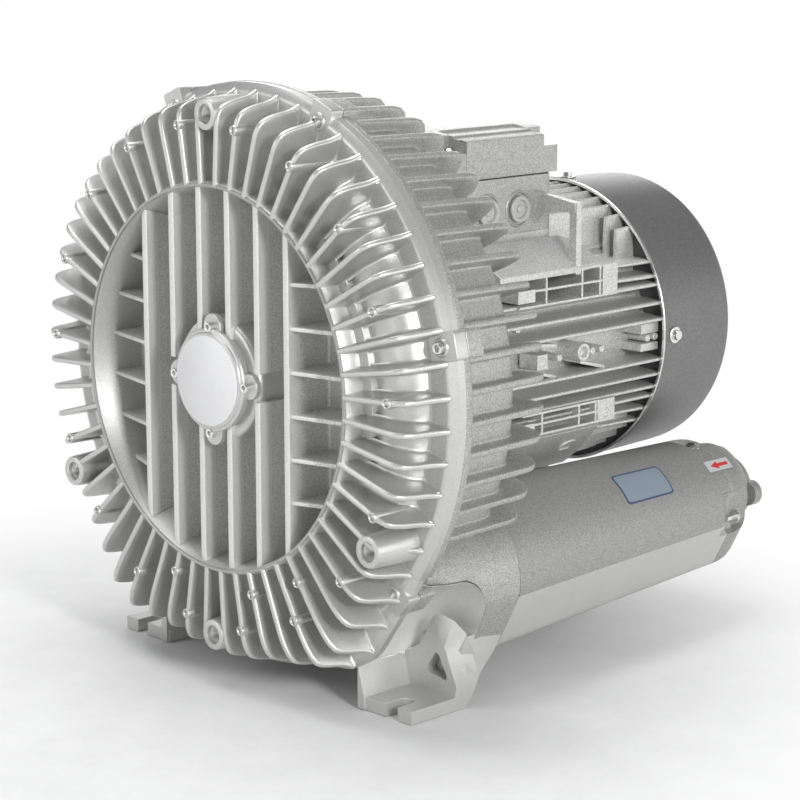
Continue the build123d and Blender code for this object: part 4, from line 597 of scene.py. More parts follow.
def along(points, count):
    """Points at even steps along a polyline."""
    points = np.asarray(points, dtype=float)
    walked = np.concatenate([[0], np.cumsum(np.linalg.norm(np.diff(points, axis=0), axis=1))])
    steps = np.linspace(0, walked[-1], count)
    return np.stack([np.interp(steps, walked, points[:, k]) for k in range(points.shape[1])], axis=1)


def radial(points):
    """(radius, y) pairs drawn at +X."""
    points = np.asarray(points, dtype=float)
    return np.stack([points[:, 0], points[:, 1], np.zeros(len(points))], axis=1)


FIN_ANGLES = (np.arange(56) + 0.5) * 360.0 / 56
print("fins round the ring", len(FIN_ANGLES))

# %% [markdown]
# The cover is one casting. From the rim of the deep recess it steps down to a narrow ledge, swells
# over the side channel and ends in a flange with a bevel. It is a body of revolution, so one
# profile is turned round the shaft. Its smooth skin is brighter than the castings behind it, apart
# from the flat of the flange and the wall of the recess, which get a finish of their own.

# %% Cover shell
CHANNEL_RING = 206.0
BULGE_RADIUS = 37.0
JOINT_Y = 62.0
channel_arc = np.radians(np.linspace(0, 67, 12))
BULGE = np.stack([CHANNEL_RING + BULGE_RADIUS * np.sin(channel_arc),
                  JOINT_Y - BULGE_RADIUS * np.cos(channel_arc)], axis=1)
COVER_FRONT = np.concatenate([
    [(168, 54), (178.6, 3.0), (179.2, 2.4), (182.6, 2.4), (183.4, 3.4), (186, 20), (196, 21), (198, 27)],
    BULGE,
    [(243, 48), (262, 47.6), (265, 48.4), (271, 54), (271, JOINT_Y), (60, JOINT_Y), (60, 54)]])


def flange_face(centres):
    """True for the flat front of the flange, from its inner step to its bevel, and the recess wall."""
    radius = np.hypot(centres[:, 0], centres[:, 2])
    return (radius < 178) | ((radius > 245) & (radius < 263) & (centres[:, 1] < 50))


piece("cover_shell", [turned(COVER_FRONT, 256)], SMOOTH_CASTING, replaces=("front_cover",),
      second=(FLANGE_CASTING, flange_face))
lip = [(178.3, 5), (179.0, 1.2), (179.6, 0.8), (181.6, 0.8), (182.3, 1.4), (182.8, 5)]
piece("cover_lip", [turned(lip, 256)], LIP_CASTING)
piece("recess_floor", [turned([(0, 60), (172, 60), (169.5, 53.6), (0, 53.6)], 160)], RECESS_CASTING)

# %% [markdown]
# The fins lead the heat of the compressed air away. All 56 follow the bulge to the flange, and they
# grow longer where the ducts leave the ring. They could be an array round an object, but a longer
# fin among equal ones is easier when each copy is a row of one numpy array.

# %% Cover fins
fin_root = along(np.concatenate([[(181, 10), (186, 21), (196, 22)], BULGE, [(250, 49), (262, 49)]]), 26)
fin_tip = along([(181, 0.2), (238, 0.4), (245, 1.2), (250, 3.6), (254, 8), (256.5, 14), (258.5, 22),
                 (260, 31), (261.5, 38), (264, 44), (266, 47.5)], 26)
cover_fin = fin(radial(fin_root), radial(fin_tip), (0, 0, 1), 3.7, 2.8, 3.0)
# Degrees from six o'clock, and millimetres added to the fins there
EXTRA_CLOCK = (0, 8, 16, 21, 27, 34, 40, 47, 56, 180)
EXTRA_REACH = (9, 9, 10, 14, 27, 27, 16, 7, 0, 0)


def extra_reach(angle):
    """How much further out the cover goes near the ducts, from the angle's distance to six o'clock."""
    return np.interp(np.abs(np.asarray(angle) % 360.0 - 180.0), EXTRA_CLOCK, EXTRA_REACH)


longer = np.repeat(cover_fin[None], len(FIN_ANGLES), axis=0)
outward = np.clip((longer[..., 0] - 234.0) / 20.0, 0, 1)
longer[..., 0] += outward * extra_reach(FIN_ANGLES)[:, None, None]
cover_fins = np.stack([turned_copies(one, [angle])[0] for one, angle in zip(longer, FIN_ANGLES)])
piece("cover_fins", [(cover_fins, False)], SMOOTH_CASTING)

# %% [markdown]
# Where the ducts leave the ring, the flange grows a shallow lobe, which the long fins end on. A
# turned body can't grow on one side, so the lobe is a sector of its own, whose profile reaches
# further out from ring to ring.

# %% Duct lobes
def lobe_sector(low, high, profile, steps=24):
    """Profile (radius, y) swept from clock low to high; its outer part grows by extra_reach."""
    profile = np.asarray(profile, dtype=float)
    rings = []
    for angle in np.linspace(low, high, steps):
        reach = profile[:, 0] + (profile[:, 0] > 262) * extra_reach(angle) * 0.82
        x, z = on_clock(reach, angle)
        rings.append(np.stack([x, profile[:, 1], z], axis=1))
    return np.stack(rings), False


lobe_profile = [(255, 48.4), (263, 48.2), (265.5, 49), (270.4, 54), (270.4, 61.4), (255, 61.4)]
lobes = [lobe_sector(126, 180, lobe_profile)]
piece("flange_lobes", lobes + flipped(lobes), SMOOTH_CASTING)

# %% [markdown]
# In the recess six upright fins run from wall to wall. The two in the middle stop at the bearing
# cap, the next two make room for its side lobes. Short level fins slope from the outer ones to the
# wall. Their fronts are flatter than other tips, and a second finish on the same mesh gives them
# less grain, less roughness and a lighter colour; the lighter colour is a painted highlight.

# %% Recess fins
WALL_FLOOR, WALL_LIP, FLOOR_Y, FIN_FRONT_Y = 168.0, 178.5, 54.0, 6.0


def upright_recess_fin(x, low, high):
    """Upright fin from z = low to z = high, where None means as far as the sloped wall."""
    floor_reach, front_reach = math.sqrt(WALL_FLOOR ** 2 - x ** 2), math.sqrt(WALL_LIP ** 2 - x ** 2)
    ends = [(floor_reach + 2, front_reach + 1) if high is None else (high, high),
            (-floor_reach - 2, -front_reach - 1) if low is None else (low, low)]
    t = np.array([0, 0.02, 0.06, 0.5, 0.94, 0.98, 1])[:, None]
    root = np.array([x, FLOOR_Y, ends[0][0]]) * (1 - t) + np.array([x, FLOOR_Y, ends[1][0]]) * t
    tip = np.array([x, FIN_FRONT_Y, ends[0][1]]) * (1 - t) + np.array([x, FIN_FRONT_Y, ends[1][1]]) * t
    return fin(root, tip, (1, 0, 0), 4.5, 3.5, 4.0, round_share=0.35), False


recess_fins = [upright_recess_fin(x, None, None) for x in (-100, 100)]
for x, stop in ((20, 40.0), (60, 13.5)):
    for side in (-x, x):
        recess_fins += [upright_recess_fin(side, stop, None), upright_recess_fin(side, None, -stop)]
level_fins = []
for z in (-100, -60, -20, 20, 60, 100):
    wall = math.sqrt(WALL_LIP ** 2 - z ** 2)
    t = np.linspace(0, 1, 6)[:, None]
    root = np.array([100, FLOOR_Y, z]) * (1 - t) + np.array([wall - 4, FLOOR_Y, z]) * t
    tip = np.array([100, 8.0, z]) * (1 - t) + np.array([wall - 1, 25.0, z]) * t
    level_fins.append((fin(root, tip, (0, 0, 1), 2.8, 2.0, 3.0, round_share=0.5), False))
recess_fins += level_fins + flipped(level_fins)


def painted_highlight_front(centres):
    """True for faces near the front of the fins, which get less grain and a painted highlight."""
    return centres[:, 1] < 16


piece("recess_fins", recess_fins, RECESS_CASTING, second=(EDGE_HIGHLIGHT_CASTING, painted_highlight_front))

# %% [markdown]
# The front bearing sits in a hub in the middle of the recess. A lobed cap closes it, held by four
# small screws, and a plain pale disc covers the cap's middle. The cap's outline could be joined
# circles, but one formula, the largest of five circles at each angle, has no seams.

# %% Hub, cap and disc
def lobed(radius, lobe, reach, steps=144):
    """Outline whose radius is the largest of a circle and four lobes at the quarter hours."""
    turn = np.linspace(0, 2 * math.pi, steps, endpoint=False)
    bend = (turn + math.pi / 4) % (math.pi / 2) - math.pi / 4
    across = reach * np.sin(bend)
    lobes = reach * np.cos(bend) + np.sqrt(np.maximum(lobe ** 2 - across ** 2, 0))
    radii = np.where(np.abs(across) < lobe, np.maximum(lobes, radius), radius)
    return np.stack([radii * np.sin(turn), radii * np.cos(turn)], axis=1)


hub_profile = softened([(30, 10.2), (56, 10.2), (58.5, 14), (60, 40), (70, 54.5), (30, 55)], 3)
piece("hub_pad", [turned(hub_profile, 128)], SMOOTH_CASTING)
cap = [prism(lobed(46, 12, 50), 1, 4.2, 10.4)]
cap += [turned(softened([(38, -0.4), (47, -0.4), (48.5, 1.0), (48.5, 6), (38, 6)], 1.4), 128)]
cap += [turned(softened([(30, -2.0), (44, -2.0), (45.5, -0.4), (45.5, 4), (30, 4)], 1.2), 128)]
piece("bearing_cap", cap, SMOOTH_CASTING, bevel=0.9, replaces=("hub_cap",))
piece("cap_disc", [turned([(0, -4.5), (41.3, -4.5), (42, -4.0), (42, -1.9), (0, -1.9)], 128)], PALE_DISC,
      replaces=("hub_disc",))

# %% [markdown]
# Socket head screws hold the cover and the cap, and hexagon screws hold the rest. A head and its
# socket could be cut from a cylinder. Here one tube goes over the head and down into the socket,
# with polygons for the hexagonal rings, and it needs no cut.

# %% Screws
def socket_screw(radius, head, length, shank, socket):
    """Head along +Z with a hexagon socket; its seat is at height 0."""
    top = length
    return spun([(shank * 0.6, -14), (shank, -14), (shank, 0), (head, 0), (head, top - 0.8),
                 (head - 0.8, top), (socket + 0.5, top), (socket, top - 0.4),
                 (socket, top - length * 0.55), (0.05, top - length * 0.6)],
                sides=[0, 0, 0, 0, 0, 0, 0, 6, 6, 6])


def hexagon_screw(head, length, shank, washer):
    """Washer and hexagon head along +Z; its seat is at height 0."""
    return spun([(shank, -12), (shank, 0), (washer, 0), (washer, 1.1), (washer - 0.3, 1.3), (head, 1.3),
                 (head, 1.3 + length - 0.7), (head * 0.86, 1.3 + length), (0.05, 1.3 + length)],
                sides=[0, 0, 0, 0, 0, 6, 6, 0, 0])


LUG_CLOCK = (22.5, 77.1, 131.8, 228.2, 282.9, 337.5)
LUG_SCREW_RING = 261.5
CAP_SCREW_RING = 50.0


def on_ring(ring, clock, form, seat):
    """Copies of a form at clock angles on a ring round the shaft, which point to the front."""
    places = [on_clock(ring, angle) for angle in clock]
    return [(aimed(form, (x, seat, z), (0, -1, 0)), False) for x, z in places]


lug_screw = socket_screw(5.4, 5.4, 6.0, 4.0, 3.0)
screws = on_ring(LUG_SCREW_RING, LUG_CLOCK, lug_screw, 46.8)
piece("lug_screws", screws, ZINC, replaces=("cover_screws",))
cap_screw = socket_screw(5.0, 5.0, 6.0, 3.0, 2.5)
screws = on_ring(CAP_SCREW_RING, (0, 90, 180, 270), cap_screw, 4.2)
piece("cap_screws", screws, ZINC, replaces=("hub_cap_screws",))

# %% [markdown]
# Round bosses stand on the fins. Four large ones hold threads for lifting eyes and brackets. The
# small ones are where ejector pins pushed the casting out of its mould. A real thread is a helix,
# but this deep in a small hole a stack of rings looks the same with far fewer faces.

# %% Bosses on the cover
def thread_rings(radius, depth, pitch):
    """Zigzag (radius, depth) pairs that stand for the turns of a thread."""
    turns = int(depth / pitch)
    depths = np.arange(turns * 2 + 1) * pitch / 2
    radii = radius + np.where(np.arange(turns * 2 + 1) % 2, -0.5, 0.5)
    return list(zip(radii, -depths))


boss_top = [(17.0, -60), (16.2, -30), (15.0, -3), (14.4, -0.6), (13.6, 0), (9.6, 0), (8.8, -0.8),
            (8.4, -4.4), (6.8, -5.6)]
boss_thread = [(r, d - 6.2) for r, d in thread_rings(6.0, 18, 2.0)]
large_boss = spun(boss_top + boss_thread + [(0.1, -25)], steps=40)
small_boss = spun([(5.4, -50), (5.2, -20), (5.0, -0.9), (4.5, 0), (3.7, 0), (3.2, -0.6),
                   (2.9, -2.4), (0.1, -2.6)], steps=24)
BOSS_FRONT = -1.0
FIN_PITCH = 360.0 / 56
bosses = on_ring(245.0, (0, 120, 180, 240), large_boss, BOSS_FRONT)
fin_steps = (1.5, 4.5, 7.5, 10.5, 13.5, 17.5, 20.5, 23.5, 26.5)
bosses += on_ring(236.0, [side * step * FIN_PITCH for step in fin_steps for side in (1, -1)],
                    small_boss, BOSS_FRONT)
bosses += on_ring(202.0, (164, -164), small_boss, BOSS_FRONT)
bosses += on_ring(207.0, (145,), small_boss, BOSS_FRONT)
piece("cover_bosses", bosses, SMOOTH_CASTING)

# %% [markdown]
# Six lugs clamp cover and housing together. Each is a square block with soft edges, and a round
# seat on its front carries the screw head. Block and seat are drawn once and turned to six places.

# %% Clamp lugs
def lug_at(angle, front, rear, reach=278.5):
    """Block at +X with a rounded seat, turned to its clock angle."""
    seat = prism(softened([(246, -13), (reach, -13), (reach, 13), (246, 13)], 3.0), 1, front, rear)[0]
    return turned_copies(seat, [angle]), False


screw_seat = spun([(9.2, -14), (8.6, -1.2), (7.6, 0), (5.9, 0), (5.6, -1.4), (0.1, -1.4)], 32)
seats = on_ring(LUG_SCREW_RING, LUG_CLOCK, screw_seat, 45.4)
piece("cover_lugs", [lug_at(a, 47.4, 61.8) for a in LUG_CLOCK] + seats, SMOOTH_CASTING, bevel=1.0)
piece("housing_lugs", [lug_at(a, 62.6, 82.0, 277.8) for a in LUG_CLOCK], ROUGH_CASTING, bevel=1.4)

# %% [markdown]
# The housing is sand cast in one piece with its neck, ducts and front feet. It carries the same
# number of fins as the cover, and their tips reach past its rear wall. Its profile, from the flange
# over the wall to the neck, is turned round the shaft as the cover's was.

# %% Housing shell and fins
HOUSING_FLANGE = [(90, 62), (270.4, 62), (271.6, 63.2), (271.6, 69.0), (270.4, 70.6), (265.5, 72.5),
                  (260, 75.5)]
HOUSING_WALL = [(254, 77.5), (250.5, 80.5), (249, 85), (248.6, 96), (247.6, 136), (246.6, 144),
                (243, 150), (236, 153), (222, 154)]
HOUSING_NECK = [(206, 152), (180, 142), (150, 128), (132, 131), (121, 140), (118, 150), (118, 176),
                (131, 176), (132, 177), (132, 190), (90, 190)]
HOUSING_OUTSIDE = np.array(HOUSING_FLANGE + HOUSING_WALL + HOUSING_NECK)
piece("housing_shell", [turned(HOUSING_OUTSIDE, 256)], ROUGH_CASTING, replaces=("blower_housing",))
fin_root = along([(264, 71)] + HOUSING_WALL + [(200, 150)], 22)
fin_tip = along([(262.5, 70.5), (260, 74), (258.5, 120), (257, 168), (255.5, 177), (250, 184),
                 (243, 187), (232, 186), (220, 181), (210, 172), (204, 160)], 22)
housing_fin = fin(radial(fin_root), radial(fin_tip), (0, 0, 1), 4.1, 3.1, 3.0)
piece("housing_fins", [(turned_copies(housing_fin, FIN_ANGLES), False)], ROUGH_CASTING)

# %% [markdown]
# Two ducts lead from the channel to the silencers. Their section is round on top, with flat sides
# below that slope in to a flat bottom. A sketch swept along a path could make them. Here the same
# section makes duct, silencer and end cap, so it is a function of how large it is at that place.

# %% Duct section
SILENCER_X, TAPER_Z = 150.0, -152.0
CROWN_RADIUS, CROWN_Z = 76.8, -184.8
BOTTOM_HALF, BOTTOM_Z = 45.6, -254.0
NOTCH_CENTRE = np.array([SILENCER_X, -186.0])
NOTCH_HALF = 24.0


def duct_ring(scale, inset=0.0, notches=0.0, points=96):
    """Section with an arc on top and three flats below, shrunk by scale towards (150, -152)."""
    arc = np.radians(np.linspace(-98, 98, 41))
    radius = CROWN_RADIUS - inset
    crown = np.stack([SILENCER_X + radius * np.sin(arc), CROWN_Z + radius * np.cos(arc)], axis=1)
    half = BOTTOM_HALF - inset * 0.6
    bottom = [(SILENCER_X + half, BOTTOM_Z + inset), (SILENCER_X - half, BOTTOM_Z + inset)]
    loop = np.concatenate([crown, bottom])
    loop = softened(loop, np.concatenate([[7], np.zeros(39), [7], [9, 9]]))
    loop = along(np.concatenate([loop, loop[:1]]), points + 1)[:-1]
    if notches:
        for clock in (0.0, 90.0, 180.0, 270.0):
            way = np.array([math.sin(math.radians(clock)), math.cos(math.radians(clock))])
            reach = (loop - NOTCH_CENTRE) @ way
            over = np.maximum(reach - (reach.max() - notches), 0)
            aside = np.abs((loop - NOTCH_CENTRE) @ np.array([way[1], -way[0]]))
            loop = loop - (over * (aside < NOTCH_HALF))[:, None] * way
    return (loop - (SILENCER_X, TAPER_Z)) * scale + (SILENCER_X, TAPER_Z)


def duct_tube(stations):
    """Tube through (y, scale, inset, notch depth) stations of the duct section."""
    rings = [np.insert(duct_ring(scale, inset, notch), 1, y, axis=1)
             for y, scale, inset, notch in stations]
    return np.stack(rings), False


print("points of the duct section", len(duct_ring(1.0)))

# %% [markdown]
# Over the foot the duct is scooped out, so that a spanner reaches the foundation screw. The hollow
# is a circle that shrinks to a point further back. A cut with a rounded cylinder would leave long
# thin faces on the duct. So the points of the section that lie inside the circle move out to it.

# %% Ducts with a bite
BITE = np.array([225.0, -254.0])
BITE_RADIUS, BITE_STRAIGHT, BITE_CLOSING = 86.0, 92.0, 49.0


def bite_radius(y):
    """86 + 0.14 (92 - y) before y = 92, then 86 (1 - ((y - 92) / 49)^3)^(1/3), 0 at y = 141."""
    past = np.clip((y - BITE_STRAIGHT) / BITE_CLOSING, 0, 1)
    wider = np.maximum(BITE_STRAIGHT - y, 0) * 0.14
    return (BITE_RADIUS + wider) * (1 - past ** 3) ** (1 / 3)


def bitten(y, spare=1.5):
    """Duct section at y, where points within the bite's radius are pushed out to its circle."""
    loop = duct_ring(1.0)
    away = loop - BITE
    distance = np.linalg.norm(away, axis=1)[:, None]
    reach = bite_radius(y) + spare
    return np.insert(np.where(distance < reach, BITE + away / distance * reach, loop), 1, y, axis=1)


bite_stations = [64, 72, 80, 88, 96, 104, 112, 119, 125, 130, 134, 137, 139, 140, 140.5]
whole_part = duct_tube([(141.2, 1.0, 0, 0), (150, 1.0, 0, 0), (180.6, 1.0, 0, 0)])[0]
duct = [(np.concatenate([np.stack([bitten(y) for y in bite_stations]), whole_part]), False)]
piece("housing_ducts", duct + flipped(duct), ROUGH_CASTING)

# %% [markdown]
# The hollow's own face is smoother than the duct and painted much paler, as painted light for the
# floor and lamp light that falls into it. A thin crescent covers it between the two lines where
# circle and duct meet, so that it can have this finish of its own.

# %% Scoops
def scoop_ring(y, steps=28):
    """Thin crescent on the bite's circle, between the two places where it meets the duct's skin."""
    away = duct_ring(1.0, points=960) - BITE
    inside = np.flatnonzero(np.linalg.norm(away, axis=1) < bite_radius(y))
    ends = np.unwrap(np.arctan2(away[inside[[0, -1]], 1], away[inside[[0, -1]], 0]) % (2 * math.pi))
    angle = np.linspace(ends.min() - 0.004, ends.max() + 0.03, steps)
    thick = 0.2 + 3.0 * np.sin(np.linspace(0, math.pi, steps)) ** 0.5
    radius = np.concatenate([bite_radius(y) * np.ones(steps), (bite_radius(y) + thick)[::-1]])
    angle = np.concatenate([angle, angle[::-1]])
    loop = BITE + np.stack([radius * np.cos(angle), radius * np.sin(angle)], axis=1)
    return np.insert(loop, 1, y, axis=1)


scoop = [(np.stack([scoop_ring(y) for y in [63.5] + bite_stations[1:]]), False)]
piece("foot_scoops", scoop + flipped(scoop), SCOOP_PAINTED_LIGHT)

# %% [markdown]
# The front feet are part of the housing casting. A flat plate has an open slot for the foundation
# screw and a leaning web stands on its inner edge. Behind the slot a wall with a three-sided window
# rises to the duct, and its outer side leans back to the duct's flank. A wall with a hole is a tube
# too: its rings run round the hole, so no cut is needed.

# %% Front feet
def level_loop(points, y):
    """(x, z) points as a loop at one y."""
    return np.insert(np.array(points, dtype=float), 1, y, axis=1)


GROUND = -297.0
SLOT_X, SLOT_Y, SLOT_RADIUS = 182.0, 76.5, 7.5
slot_arc = [(SLOT_X + SLOT_RADIUS * math.cos(a), SLOT_Y + SLOT_RADIUS * math.sin(a))
            for a in np.linspace(math.pi, 0, 9)]
foot_plate = [(139, 58), (SLOT_X - SLOT_RADIUS, 58)] + slot_arc
foot_plate += [(SLOT_X + SLOT_RADIUS, 58), (208, 58), (208, 130), (139, 130)]
foot = [prism(foot_plate, 2, GROUND + 0.05, GROUND + 13)]
inner_web = [(139.6, GROUND + 1), (149.6, GROUND + 1), (149, GROUND + 13), (141.4, -256), (139.6, -254)]
foot.append(prism(inner_web, 1, 55.0, 118))
WALL_FRONT = [(142, -296), (142, -252), (150, -249.5), (161.5, -242), (169, -231), (175, -217.7),
              (178, -213), (180.7, -210.8), (183, -215.8), (187, -224.4), (193.5, -238.5), (202, -256.6),
              (210, -274), (208, -284), (208, -296)]
WALL_REAR = [(142, 126, -296), (142, 126, -252), (150, 126, -249), (160, 126, -241), (168, 122, -230),
             (174, 118, -217), (179, 116, -211), (183, 116, -209.2), (189, 118, -209.2), (199, 122, -213.5),
             (209, 128, -225), (208.6, 138, -247), (206, 149, -270), (207.6, 140, -284), (207.6, 131, -296)]
window = softened([(169.5, -266), (184, -243), (199.5, -271)], 6.0, steps=5)
window = along(np.concatenate([window, window[:1]]), len(WALL_FRONT) + 1)[:-1]
wall_loops = [level_loop(WALL_FRONT, 114), np.array(WALL_REAR, dtype=float),
              level_loop(window, 125.0), level_loop(window, 114.0)]
foot.append((np.stack(wall_loops, axis=1), True))
BEHIND_WALL = [(126, [(142.5, -296.5), (206, -296.5), (203, -262), (197, -236), (142.5, -236)]),
               (131, [(142.5, -296.5), (207, -296.5), (205.5, -265), (205.5, -230), (142.5, -230)]),
               (150, [(142.5, -268), (206, -268), (205.8, -255), (206.5, -228), (142.5, -228)]),
               (180, [(150, -253.8), (196, -253.8), (198, -250), (204, -238), (150, -238)])]
foot.append((np.stack([level_loop(ring, y) for y, ring in BEHIND_WALL]), False))
piece("front_feet", foot + flipped(foot), FOOT_CASTING, bevel=1.2)

# %% [markdown]
# Air passes a silencer on its way in and another on its way out. They are cast, and they taper to
# the rear so that they leave the mould. The taper is a straight line between two scales, and the
# flank below the ridge catches less light, which a second finish shows. Each has a thin seam at the
# front.

# %% Silencers
TAPER_Y = (184.0, 496.0)
TAPER_SCALE = (1.005, 0.8695)
RIDGE_Z = -197.0


def taper(y):
    """Scale of the section: 1.005 at y = 184, 0.8695 at y = 496, and straight on past both."""
    return TAPER_SCALE[0] - (y - TAPER_Y[0]) * (TAPER_SCALE[0] - TAPER_SCALE[1]) / (TAPER_Y[1] - TAPER_Y[0])


def below_ridge(centres):
    """True for faces under the ridge, which rises to the rear with the taper."""
    return centres[:, 2] < TAPER_Z + (RIDGE_Z - TAPER_Z) * taper(centres[:, 1])


silencer = [duct_tube([(180.2, 0.97, 0, 0), (180.4, 1.006, 0, 0), (181.2, 1.009, 0, 0),
                       (182.4, 1.004, 0, 0), (184, 1.005, 0, 0), (300, 0.953, 0, 0), (420, 0.902, 0, 0),
                       (496, 0.8695, 0, 0), (496.5, 0.8695, 0, 13), (511.4, 0.8635, 0, 13)])]
piece("silencer_right", silencer, SILENCER_CASTING, replaces=("inlet_silencer",),
      second=(FLANK_CASTING, below_ridge))
piece("silencer_left", flipped(silencer), SILENCER_CASTING, replaces=("outlet_silencer",),
      second=(FLANK_CASTING, below_ridge))

# %% [markdown]
# An end cap closes each silencer. It has notches for its four screws and a round threaded port with
# two ears, where a pipe or a filter is screwed on. The thread is a stack of rings again.

# %% End caps
end_cap = [duct_tube([(512.2, 0.858, 0, 13), (512.8, 0.8635, 0, 13), (522, 0.858, 0, 13),
                      (522.5, 0.858, 0, 20), (532, 0.84, 0, 18), (542, 0.80, 0, 14), (551, 0.73, 0, 8),
                      (556, 0.64, 0, 0)])]
PORT_X, PORT_Y, PORT_Z = 150.0, 582.0, -174.0
PORT_MOUTH = [(40, -50), (38, -20), (35.5, -12), (35, -8), (35, -1), (34, 0), (30, 0), (29, -1)]
port_thread = [(r, d - 1.5) for r, d in thread_rings(28.6, 20, 2.3)]
port_form = spun(PORT_MOUTH + port_thread + [(27, -44), (0.1, -44)], 64)
port = [(aimed(port_form, (PORT_X, PORT_Y, PORT_Z), (0, 1, 0)), False)]
ear = spun([(13, -12), (13, -1), (12, 0), (5, 0), (4.2, -0.8), (4.2, -11), (0.1, -11)], 28)
port += [(aimed(ear, (PORT_X + side, PORT_Y, PORT_Z), (0, 1, 0)), False) for side in (-36, 36)]
piece("end_cap_right", end_cap + port, SILENCER_CASTING, replaces=("inlet_end_cap",))
piece("end_cap_left", flipped(end_cap + port), SILENCER_CASTING, replaces=("outlet_end_cap",))
end_screw = hexagon_screw(6.4, 5.0, 4.0, 8.0)
screws = [(aimed(end_screw, (x, 522.3, z), (0, 1, 0)), False)
          for x, z in ((150, -125), (206, -186), (94, -186), (150, -229))]
piece("end_screws_right", screws, ZINC, replaces=("inlet_cap_screws",))
piece("end_screws_left", flipped(screws), ZINC, replaces=("outlet_cap_screws",))

# %% [markdown]
# The fan cover is thin painted sheet, drawn in a press, and it guides the fan's air along the
# motor. A flat disc with holes cut in it could be its rear. Here rings and spokes make the grille,
# so light and sight pass through it as they do on the real one.

# %% Fan cover
cover_profile = [(149, 476), (149, 478), (147, 570), (146, 589), (122, 589), (122, 587), (144, 587),
                 (145, 570), (147, 478), (147.4, 476)]
cover_corners = [0, 0, 0, 15, 0, 0, 13, 0, 0, 0]
fan_cover = [turned(softened(cover_profile, cover_corners, steps=7), 192)]
GRILLE_FRONT, GRILLE_REAR = 587, 589
for low, high, steps in [(radius - 5, radius, 128) for radius in np.arange(24, 118, 13.0)] + [(0, 20, 64)]:
    grille_ring = [(low, GRILLE_FRONT), (low, GRILLE_REAR), (high, GRILLE_REAR), (high, GRILLE_FRONT)]
    fan_cover.append(turned(grille_ring, steps))
spoke = block((10, 123), (587.1, 588.9), (-2.5, 2.5))[0]
fan_cover.append((turned_copies(spoke, np.arange(8) * 45.0), False))
piece("fan_cover_sheet", fan_cover, COVER_PAINT, replaces=("fan_cover",))
# The ring stands for the end shield's outer flange. Its near-black colour is painted shade for the dark
# inside of the fan cover, which would otherwise show through the grille.
shield = turned([(109, 482.4), (146.6, 482.4), (146.6, 488), (109, 488)], 128)
piece("fan_gap_shield", [shield], SHADOW_GREY)
cover_rim = [(147.0, 475.2), (149.6, 475.2), (150.2, 476.2), (149.6, 477.6), (147.0, 477.6)]
piece("fan_cover_rim", [turned(cover_rim, 192)], ZINC)
cover_screw = aimed(hexagon_screw(5.5, 4.6, 3.0, 8.5), (149.2, 492, 0), (1, 0, 0))
screws = [(turned_copies(cover_screw, [angle]), False) for angle in (0, 90, 180, 270)]
piece("fan_cover_bolts", screws, ZINC, replaces=("fan_cover_screws",))

# %% [markdown]
# The motor frame is a finned barrel. All fins of one side are parallel, as the mould needs it, so
# those near the middle line are short and the outer ones are long. Level fins run along the sides
# and upright fins stand behind the terminal box.

# %% Motor frame
FRAME_RADIUS = 113.0
FRAME_REAR = 478.0


def straight_fin(offset, front, rear, front_reach, rear_reach, upright=False):
    """Fin along the motor. At the offset its root is sqrt(113^2 - offset^2) out and its tip
    sqrt(reach^2 - offset^2), so that the tips of all fins lie on one circle."""
    base = math.sqrt(FRAME_RADIUS ** 2 - offset ** 2) - 1
    tips = [math.sqrt(reach ** 2 - offset ** 2) for reach in (front_reach, rear_reach)]
    t = np.array([0, 0.03, 0.5, 0.97, 1])
    y = front + (rear - front) * t
    root = np.stack([np.full(5, base), y, np.full(5, float(offset))], axis=1)
    tip_points = np.stack([tips[0] + (tips[1] - tips[0]) * t, y, np.full(5, float(offset))], axis=1)
    grid = fin(root, tip_points, (0, 0, 1), 2.9, 1.8, 3.5)
    return (grid[..., [2, 1, 0]] if upright else grid), False


LEVEL_FINS = (51.8, 33.7, 17.5, -23.9, -39.8, -53.4, -63.8)
FIN_REAR = 482.0
right_side = [straight_fin(z, 206, FIN_REAR, 147, 146.4) for z in LEVEL_FINS]
right_side += [straight_fin(z, 409, FIN_REAR, 143, 146.4) for z in (60.0, 74.0)]
right_side += [straight_fin(z, 406, FIN_REAR, 142, 146) for z in (-78.0, -92.0)]
top = [straight_fin(x, 376, FIN_REAR, 144, 146, True) for x in np.arange(-70, 71, 14)]
top += [straight_fin(x, 456, FIN_REAR, 145, 146.4, True) for x in (-98, -84, 84, 98)]
below = [straight_fin(x, 380, FRAME_REAR, 144, 141, True) for x in np.arange(-98, 99, 14) if abs(x) > 41]
bottom = [(grid * (1, 1, -1), joined) for grid, joined in below]
barrel_profile = softened([(106, 190), (132, 190), (132, 204), (116, 206), (113, 209), (113, FRAME_REAR),
                           (106, FRAME_REAR)], [0, 1, 1, 2, 3, 1, 0])
barrel = [turned(barrel_profile, 160)]
piece("motor_barrel", barrel + right_side + flipped(right_side) + top + bottom, MOTOR_CASTING,
      replaces=("motor_frame",))

# %% [markdown]
# On each side of the motor two pads take feet when the motor is mounted another way up. To save
# metal they are open, like small window frames: three strips, cross ribs, a solid end with a screw
# seat and a block at the front. They are set a little off one another, so that no two faces lie in
# one plane.

# %% Lattice pads
PAD_X = 141.0
STRIP_HALF = 1.3


def lattice_pad(low, high, ribs, end, tab):
    """Three strips along Y, ribs across them, a solid end block and a front tab block."""
    middle = (low + high) / 2
    base = math.sqrt(FRAME_RADIUS ** 2 - max(abs(low), abs(high)) ** 2) - 4
    parts = [block((base, PAD_X), (tab[0] + 2, end[0] + 1), (z - STRIP_HALF, z + STRIP_HALF))
             for z in (low, middle, high)]
    parts += [block((base + 2, PAD_X - 0.6), (y - STRIP_HALF, y + STRIP_HALF), (low + 0.4, high - 0.4))
              for y in ribs]
    parts.append(block((base + 1, PAD_X + 0.7), end, (low - 1.0, high + 1.0)))
    parts.append(block((base + 1, PAD_X + 0.4), tab, (middle - 10.5, middle + 2.0)))
    return parts


